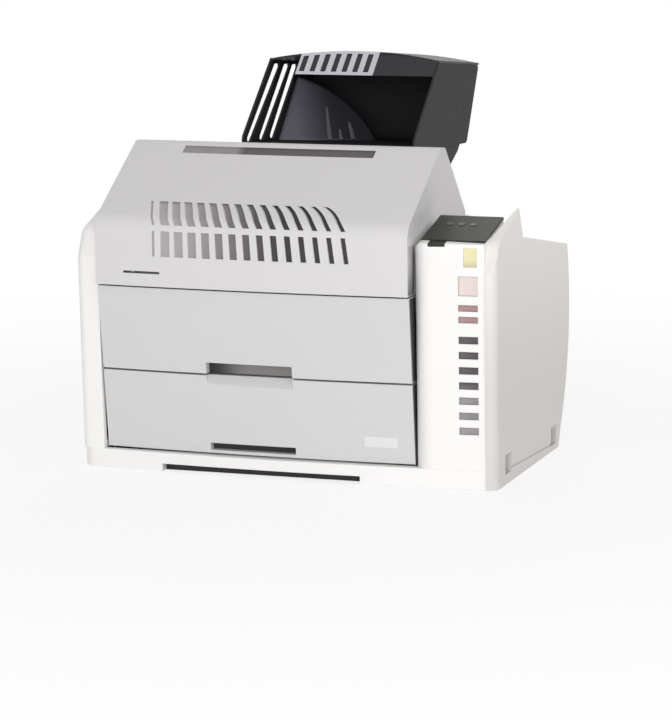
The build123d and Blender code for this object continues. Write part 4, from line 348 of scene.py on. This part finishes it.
# Rounded copies of the moulded covers
ROUND_STEPS = 3
MERGE_DISTANCE = 1e-6
FLAT_ANGLE = math.radians(0.1)
CRISP_ANGLE = math.radians(28)
SHARP_ANGLE = math.radians(32)
LEVEL_ANGLE = math.radians(16)
SHORTEST_NORMAL = 1e-12
EDGE_RADIUS = {
    "base_pan": 0.0010, "left_side_cover": 0.0012, "right_side_cover": 0.0012,
    "column_front": 0.0008, "top_cover": 0.0, "upper_drawer_front": 0.0007,
    "lower_drawer_front": 0.0007, "rear_deck": 0.0010, "rear_cover": 0.0006,
    "hood_left_wall": 0.0009, "hood_right_wall": 0.0009, "hood_top": 0.0009,
    "hood_back": 0.0009, "hood_neck": 0.0008, "output_tray": 0.0008,
}


def read_all(items, name, width=1, kind=float):
    """One attribute of all items of a mesh collection, as an array."""
    values = np.empty(len(items) * width, dtype=kind)
    items.foreach_get(name, values)
    return values.reshape(-1, width) if width > 1 else values


def level_shading(mesh):
    """Custom normals that keep wide faces level beside narrow roundings.

    A corner's normal is the area-weighted mean of the faces round its vertex that lie within the
    level angle of its own face.
    """
    vertex = read_all(mesh.loops, "vertex_index", kind=np.int64)
    sizes = read_all(mesh.polygons, "loop_total", kind=np.int64)
    normals = read_all(mesh.polygons, "normal", 3)
    areas = read_all(mesh.polygons, "area")
    face = np.repeat(np.arange(len(sizes)), sizes)
    order = np.argsort(vertex, kind="stable")
    vertex, face = vertex[order], face[order]
    own = normals[face]
    weighted = own * areas[face][:, None]
    total = weighted.copy()
    step = 1
    while (vertex[step:] == vertex[:-step]).any():
        near = np.einsum("ij,ij->i", own[step:], own[:-step]) > math.cos(LEVEL_ANGLE)
        near &= vertex[step:] == vertex[:-step]
        total[step:] += np.where(near[:, None], weighted[:-step], 0.0)
        total[:-step] += np.where(near[:, None], weighted[step:], 0.0)
        step += 1
    length = np.linalg.norm(total, axis=1)[:, None]
    total = np.where(length > SHORTEST_NORMAL, total / np.maximum(length, SHORTEST_NORMAL), own)
    corner = np.empty_like(total)
    corner[order] = total
    mesh.normals_split_custom_set(corner.tolist())


def round_edges(made, radius):
    """Merges flat faces and bevels the crisp edges."""
    bmesh.ops.dissolve_limit(made, angle_limit=FLAT_ANGLE, verts=made.verts, edges=made.edges,
                             use_dissolve_boundaries=False)
    crisp = [edge for edge in made.edges
             if len(edge.link_faces) == 2 and edge.calc_face_angle(0) > CRISP_ANGLE]
    bmesh.ops.bevel(made, geom=crisp, offset=radius, segments=ROUND_STEPS, profile=0.5,
                    affect="EDGES", clamp_overlap=True)


def rounded(node, radius):
    """Copy of a node's mesh with its crisp edges rounded, standing for the node."""
    mesh = NODES[node].data.copy()
    mesh.name = node + "_skin"
    made = bmesh.new()
    made.from_mesh(mesh)
    bmesh.ops.remove_doubles(made, verts=made.verts, dist=MERGE_DISTANCE)
    if radius:
        round_edges(made, radius)
    made.to_mesh(mesh)
    made.free()
    mesh.shade_smooth()
    mesh.set_sharp_from_angle(angle=SHARP_ANGLE)
    level_shading(mesh)
    mesh.materials.clear()
    piece = new_object(mesh.name, mesh)
    dress(piece, FINISH_OF[node])
    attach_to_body(piece, BODY_OF[node])
    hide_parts(node)


for node, radius in EDGE_RADIUS.items():
    rounded(node, radius)


# Pieces added to the covers
LINER_T = 0.0004


def unit_grid(rows, columns):
    """Grids u and v, each from 0 to 1, u along the rows and v along the columns."""
    return np.meshgrid(np.linspace(0, 1, rows), np.linspace(0, 1, columns), indexing="ij")


def sheet_piece(name, points, thickness=LINER_T):
    """Mesh of a grid of points (rows, columns, 3); Solidify gives it a wall on its inner side."""
    rows, columns, _ = points.shape
    index = np.arange(rows * columns).reshape(rows, columns)
    corners = (index[:-1, :-1], index[:-1, 1:], index[1:, 1:], index[1:, :-1])
    faces = np.stack(corners, axis=-1).reshape(-1, 4)
    mesh = bpy.data.meshes.new(name)
    mesh.from_pydata(points.reshape(-1, 3).tolist(), [], faces.tolist())
    mesh.shade_smooth()
    piece = new_object(name, mesh)
    wall = piece.modifiers.new("wall", "SOLIDIFY")
    wall.thickness = thickness
    wall.offset = -1.0
    return piece


def joined(name, pieces):
    """One object from several meshes, with the first one's modifiers."""
    made = bmesh.new()
    for piece in pieces:
        made.from_mesh(piece.data)
    mesh = pieces[0].data
    made.to_mesh(mesh)
    made.free()
    for piece in pieces[1:]:
        old = piece.data
        bpy.data.objects.remove(piece)
        bpy.data.meshes.remove(old)
    pieces[0].name = name
    mesh.name = name
    return pieces[0]


def attach(piece, body, finish):
    """The piece rides on a body and wears a finish."""
    dress(piece, finish)
    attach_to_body(piece, body)


# Dark strips on the right sides of the drawer fronts and the top cover: painted shade in the gaps
# beside the column
GAP_SHADE_T = 0.0005
GAP_SHADE_DEPTH = 0.030
GAP_SHADE_SETBACK = 0.0035
SIDE_TOLERANCE = 0.0002
LEVEL_TOLERANCE = 0.0006
FRONT_REACH = 0.03
TOP_REACH = 0.02
GAP_SHADES = (
    ("lower_front_gap_shade", "lower_drawer_front", 0.034, 0.168, "gap_painted_shade"),
    ("upper_front_gap_shade", "upper_drawer_front", 0.173, 0.311, "gap_painted_shade"),
    ("cover_side_gap_shade", "top_cover", 0.317, 0.396, "gap_shade_graded"),
)


def side_edge(node, z_low, z_high):
    """Front edge of a node's right side: its y at z_low and at z_high, and the side's x."""
    places = read_all(NODES[node].data.vertices, "co", 3)
    side = places[places[:, 0] > places[:, 0].max() - SIDE_TOLERANCE]
    bottom = side[:, 2].min()
    y_bottom = side[np.abs(side[:, 2] - bottom) < LEVEL_TOLERANCE, 1].min()
    heights = np.round(side[side[:, 1] < y_bottom + FRONT_REACH, 2], 5)
    top = heights[heights <= z_high + TOP_REACH].max()
    y_top = side[np.abs(side[:, 2] - top) < LEVEL_TOLERANCE, 1].min()
    edge = np.interp([z_low, z_high], [bottom, top], [y_bottom, y_top])
    return edge, side[:, 0].max()


def make_gap_shade(name, node, z_low, z_high, finish):
    """Strip of painted shade on a front's right side: a leaning dark sheet in the gap, whose front
    edge follows the front's edge.

    y = edge(z) + setback + depth * v and z = low + (high - low) * u over the unit square.
    """
    (y_low, y_high), x = side_edge(node, z_low, z_high)
    u, v = unit_grid(9, 4)
    y = y_low + (y_high - y_low) * u + GAP_SHADE_SETBACK + GAP_SHADE_DEPTH * v
    points = np.stack([np.full_like(u, x + GAP_SHADE_T), y, z_low + (z_high - z_low) * u], axis=-1)
    attach(sheet_piece(name, points, GAP_SHADE_T), BODY_OF[node], finish)


for gap_painted_shade in GAP_SHADES:
    make_gap_shade(*gap_painted_shade)


# Column inserts
SLOT_X = (0.302, 0.334)
SLOT_MARGIN = 0.003
LOW_SLOT_Z = 0.0905
LOW_SLOT_PITCH = 0.0249
LOW_SLOT_H = 0.012
LOW_SLOT_COUNT = 7
INSERT_DEPTH = 0.0022
INSERT_CLEAR = 0.0003
INSERT_T = 0.0012
LOW_SLOTS = [(LOW_SLOT_Z + LOW_SLOT_PITCH * i, LOW_SLOT_Z + LOW_SLOT_PITCH * i + LOW_SLOT_H)
             for i in range(LOW_SLOT_COUNT)]
INSERTS = (
    ("column_slot_inserts", LOW_SLOTS, 0.002, "insert_grey"),
    ("column_pair_inserts", [(0.274, 0.2845), (0.293, 0.3035)], 0.002, "insert_red"),
    ("column_window_insert", [(0.318, 0.350)], 0.001, "insert_rose"),
)


def front_of(node):
    """Function that finds the y where a ray along +Y first meets a node at (x, z)."""
    mesh = NODES[node].data
    tree = BVHTree.FromPolygons([v.co for v in mesh.vertices],
                                [tuple(f.vertices) for f in mesh.polygons])
    ahead, rearwards = -1.0, Vector((0.0, 1.0, 0.0))
    return lambda x, z: tree.ray_cast(Vector((x, ahead, z)), rearwards)[0].y


def insert_points(find, z0, z1, dish):
    """Grid of a dished plate just inside an opening.

    y = bilinear(front at the four corners) + depth + dish * (1 - (2u - 1)^2) * (1 - (2v - 1)^6).
    """
    x0, x1 = SLOT_X
    u, v = unit_grid(13, 11)
    left, right = x0 - SLOT_MARGIN, x1 + SLOT_MARGIN
    low = (1 - u) * find(left, z0) + u * find(right, z0)
    high = (1 - u) * find(left, z1) + u * find(right, z1)
    front = (1 - v) * low + v * high
    y = front + INSERT_DEPTH + dish * (1 - (2 * u - 1) ** 2) * (1 - (2 * v - 1) ** 6)
    x = x0 + INSERT_CLEAR + (x1 - x0 - 2 * INSERT_CLEAR) * u
    z = z0 + INSERT_CLEAR + (z1 - z0 - 2 * INSERT_CLEAR) * v
    return np.stack([x, y, z], axis=-1)


def make_inserts(name, openings, dish, finish):
    """One piece of the dished plates in a row of the column's openings."""
    find = front_of("column_front")
    plates = [sheet_piece(name, insert_points(find, z0, z1, dish), INSERT_T)
              for z0, z1 in openings]
    attach(joined(name, plates), "root", finish)


for inserts in INSERTS:
    make_inserts(*inserts)


# Film rest in the hood: a sheet carrying painted light and shade on the hood's inside
REST_X0 = -0.201
REST_X_START = 0.001
REST_X_SPAN = 0.1655
REST_FOOT = (0.2906, 0.50003)
REST_ARC = ((0.0, 0.0), (0.0935, 0.012), (0.170, 0.040))
FAN_ARC = ((0.170, 0.5004), (0.099, 0.5702), (0.0, 0.612))
FAN_RIM = 0.0012
REST_LOW_Z = 0.5050
REST_LEAST_H = 0.0006
REST_PROUD = 0.0007
RIBS = (((0.0940, 0.5055), (0.0710, 0.5610), 0.0075), ((0.1130, 0.5055), (0.1050, 0.5230), 0.0065),
        ((0.1330, 0.5055), (0.1170, 0.5350), 0.0075))
RIB_TAPER = 0.5
RIB_RISE = 0.6


def circle_through(a, b, c):
    """Centre and radius of the circle through three points."""
    (ax, ay), (bx, by), (cx, cy) = a, b, c
    twice = 2 * (ax * (by - cy) + bx * (cy - ay) + cx * (ay - by))
    sa, sb, sc = ax ** 2 + ay ** 2, bx ** 2 + by ** 2, cx ** 2 + cy ** 2
    x = (sa * (by - cy) + sb * (cy - ay) + sc * (ay - by)) / twice
    y = (sa * (cx - bx) + sb * (ax - cx) + sc * (bx - ax)) / twice
    return x, y, math.hypot(ax - x, ay - y)


def rest_surface(x, z, proud):
    """Point of the film rest at offset x and height z, stood proud towards the front.

    y = foot + (z - foot z) + sqrt(2) * bend(x), where bend is the plan's arc; proud goes along
    (0, -1, 1) / sqrt(2).
    """
    cx, cy, r = circle_through(*REST_ARC)
    bend = cy - np.sqrt(r ** 2 - (x - cx) ** 2)
    y = REST_FOOT[0] + (z - REST_FOOT[1]) + math.sqrt(2) * bend
    shift = proud / math.sqrt(2)
    return np.stack([REST_X0 + x, y - shift, z + shift], axis=-1)


def make_rest_sheet():
    """Sheet over the film rest, coloured with painted light and shade: z = low + (arc(x) - low) *
    v, from its foot to the fan's arc, the edge of the lit patch.
    """
    cx, cy, r = circle_through(*FAN_ARC)
    u, v = unit_grid(41, 33)
    x = REST_X_START + REST_X_SPAN * u
    top = np.maximum(cy + np.sqrt(r ** 2 - (x - cx) ** 2) - FAN_RIM, REST_LOW_Z + REST_LEAST_H)
    z = REST_LOW_Z + (top - REST_LOW_Z) * v
    piece = sheet_piece("film_rest_lit_sheet", rest_surface(x, z, REST_PROUD)[::-1])
    attach(piece, "root", "rest_lit_and_shaded")


def make_rest_ribs():
    """Tapering ribs on the film rest, along straight lines.

    Half the width is width / 2 * (1 - taper * t^2), and the height over the rest is rise * that
    half width * sin(phi), with phi from 0 to pi across the rib; the rib ends flat at t = 1.
    """
    t, phi = np.meshgrid(np.linspace(0, 1, 25), np.linspace(0, math.pi, 9), indexing="ij")
    pieces = []
    for (x0, z0), (x1, z1), width in RIBS:
        half = width / 2 * (1 - RIB_TAPER * t ** 2)
        x = x0 + (x1 - x0) * t - half * np.cos(phi)
        z = z0 + (z1 - z0) * t
        height = RIB_RISE * half * np.sin(phi) * (t < 1)
        points = rest_surface(x, z, REST_PROUD)
        points[..., 1] -= height / math.sqrt(2)
        points[..., 2] += height / math.sqrt(2)
        pieces.append(sheet_piece("rib", points))
    attach(joined("film_rest_ribs", pieces), "root", "rib_grey")


make_rest_sheet()
make_rest_ribs()


# Lifting slot: a dark sheet inside it as painted shadow
LIFT_SLOT_X = (-0.2140, 0.1330)
LIFT_SLOT_PROFILE = ((-0.2435, 0.0122), (-0.2390, 0.0122), (-0.2342, 0.0122), (-0.2342, 0.0060),
                     (-0.2342, 0.0008))


def make_slot_shadow():
    """Dark sheet inside the lifting slot, painted shadow: an L profile, ceiling and rear wall,
    carried along X.
    """
    x, place = np.meshgrid(np.linspace(*LIFT_SLOT_X, 24), np.arange(len(LIFT_SLOT_PROFILE)),
                           indexing="ij")
    profile = np.array(LIFT_SLOT_PROFILE)[place]
    points = np.stack([x, profile[..., 0], profile[..., 1]], axis=-1)
    attach(sheet_piece("lifting_slot_shadow", points), "root", "slot_painted_shadow")


make_slot_shadow()


# Side notches, their floors covered by plates of painted shade
NOTCH_FLOOR_X = 0.3517
NOTCH_DISH = 0.0008
NOTCH_SHADE_W = 0.0372
NOTCH_SHADE_H = 0.0312
NOTCH_CLEAR = 0.0004
NOTCHES = (("front_notch_shade", -0.172, 0.017), ("rear_notch_shade", 0.115, 0.010))


def make_notch_shade(name, y_middle, z_low):
    """Dished plate of painted shade on a notch's floor: x = floor + dish * ((2u - 1)^2 + (2v -
    1)^2) over it.
    """
    u, v = unit_grid(11, 11)
    x = NOTCH_FLOOR_X + NOTCH_DISH * ((2 * u - 1) ** 2 + (2 * v - 1) ** 2)
    y = y_middle + NOTCH_SHADE_W * (u - 0.5)
    z = z_low + NOTCH_CLEAR + NOTCH_SHADE_H * v
    piece = sheet_piece(name, np.stack([x, y, z], axis=-1))
    attach(piece, "root", "notch_painted_shade")


for notch in NOTCHES:
    make_notch_shade(*notch)


# Floor, background and light
FLOOR_RADIUS = 9.0
FLOOR_RINGS = 12
FLOOR_AROUND = 64
FLOOR_SPACING_POWER = 1.6
FLOOR_Z = -0.0003
GLOW_START = 0.44
GLOW_END = 2.2
GLOW_SHARES = (0.8, 1.0)
WORLD_LEVEL = 0.56
WORLD_COLOUR = (1.0, 0.995, 0.985, 1.0)
LIGHT_AIM = Vector((0.0, 0.0, 0.3))
LIGHTS = (
    ("key", (1.3, -4.9, 0.9), 2.6, 92.0),
    ("right_fill", (4.5, -2.6, 1.6), 3.0, 22.0),
    ("top", (0.3, 0.2, 4.5), 3.0, 6.0),
    ("rear", (-0.5, 4.5, 2.8), 3.0, 30.0),
)


def lit_white(name):
    """Pale diffuse ground near the object that turns into plain white, as seen, further out."""
    material = bpy.data.materials.new(name)
    material.use_nodes = True
    tree = material.node_tree
    shader = tree.nodes["Principled BSDF"]
    shader.inputs["Base Color"].default_value = linear(250, 250, 250)
    shader.inputs["Roughness"].default_value = 0.8
    where = add(tree, "ShaderNodeTexCoord").outputs["Object"]
    far = add(tree, "ShaderNodeVectorMath", {0: where}, operation="LENGTH").outputs["Value"]
    mask = ramp(tree, far, GLOW_START, GLOW_END, *GLOW_SHARES, interpolation_type="SMOOTHSTEP")
    rays = add(tree, "ShaderNodeLightPath").outputs
    seen = math_node(tree, "MAXIMUM", rays["Is Camera Ray"], rays["Is Glossy Ray"])
    seen = math_node(tree, "MAXIMUM", seen, rays["Is Transmission Ray"])
    glow = add(tree, "ShaderNodeEmission", {"Color": WHITE, "Strength": 1.0}).outputs[0]
    share = math_node(tree, "MULTIPLY", mask, seen)
    mix = add(tree, "ShaderNodeMixShader", {0: share, 1: shader.outputs[0], 2: glow})
    tree.links.new(mix.outputs[0], tree.nodes["Material Output"].inputs["Surface"])
    return material


def make_floor():
    """Round ground sheet under the object, drawn as rings that widen outwards."""
    radius = np.linspace(0.0, 1.0, FLOOR_RINGS + 1)[1:] ** FLOOR_SPACING_POWER * FLOOR_RADIUS
    angle = np.linspace(0, 2 * math.pi, FLOOR_AROUND, endpoint=False)
    level = np.full((FLOOR_RINGS, FLOOR_AROUND), FLOOR_Z)
    points = np.stack([np.outer(radius, np.cos(angle)), np.outer(radius, np.sin(angle)), level],
                      axis=-1).reshape(-1, 3)
    faces = [tuple(range(FLOOR_AROUND))]
    for a in range(0, (FLOOR_RINGS - 1) * FLOOR_AROUND, FLOOR_AROUND):
        b = a + FLOOR_AROUND
        faces += [(a + i, b + i, b + (i + 1) % FLOOR_AROUND, a + (i + 1) % FLOOR_AROUND)
                  for i in range(FLOOR_AROUND)]
    mesh = bpy.data.meshes.new("floor")
    mesh.from_pydata(points.tolist(), [], faces)
    piece = new_object("floor", mesh)
    mesh.materials.append(lit_white("floor_white"))


def make_light():
    """Pale even surroundings, seen as white, and four large soft lamps aimed at the object."""
    world = bpy.data.worlds.new("world")
    bpy.context.scene.world = world
    world.use_nodes = True
    tree = world.node_tree
    tree.nodes.clear()
    rays = add(tree, "ShaderNodeLightPath").outputs
    seen = math_node(tree, "MAXIMUM", rays["Is Camera Ray"], rays["Is Transmission Ray"])
    studio, white = (
        add(tree, "ShaderNodeBackground", {"Color": colour, "Strength": level}).outputs[0]
        for colour, level in ((WORLD_COLOUR, WORLD_LEVEL), (WHITE, 1.0)))
    mix = add(tree, "ShaderNodeMixShader", {0: seen, 1: studio, 2: white}).outputs[0]
    add(tree, "ShaderNodeOutputWorld", {"Surface": mix})
    for name, place, size, power in LIGHTS:
        data = bpy.data.lights.new(name, "AREA")
        data.shape = "DISK"
        data.size = size
        data.energy = power
        lamp = new_object(name, data)
        lamp.location = place
        lamp.rotation_mode = "QUATERNION"
        lamp.rotation_quaternion = (Vector(place) - LIGHT_AIM).to_track_quat("Z", "Y")


place_camera()
make_floor()
make_light()
bpy.context.scene.view_settings.view_transform = "Standard"
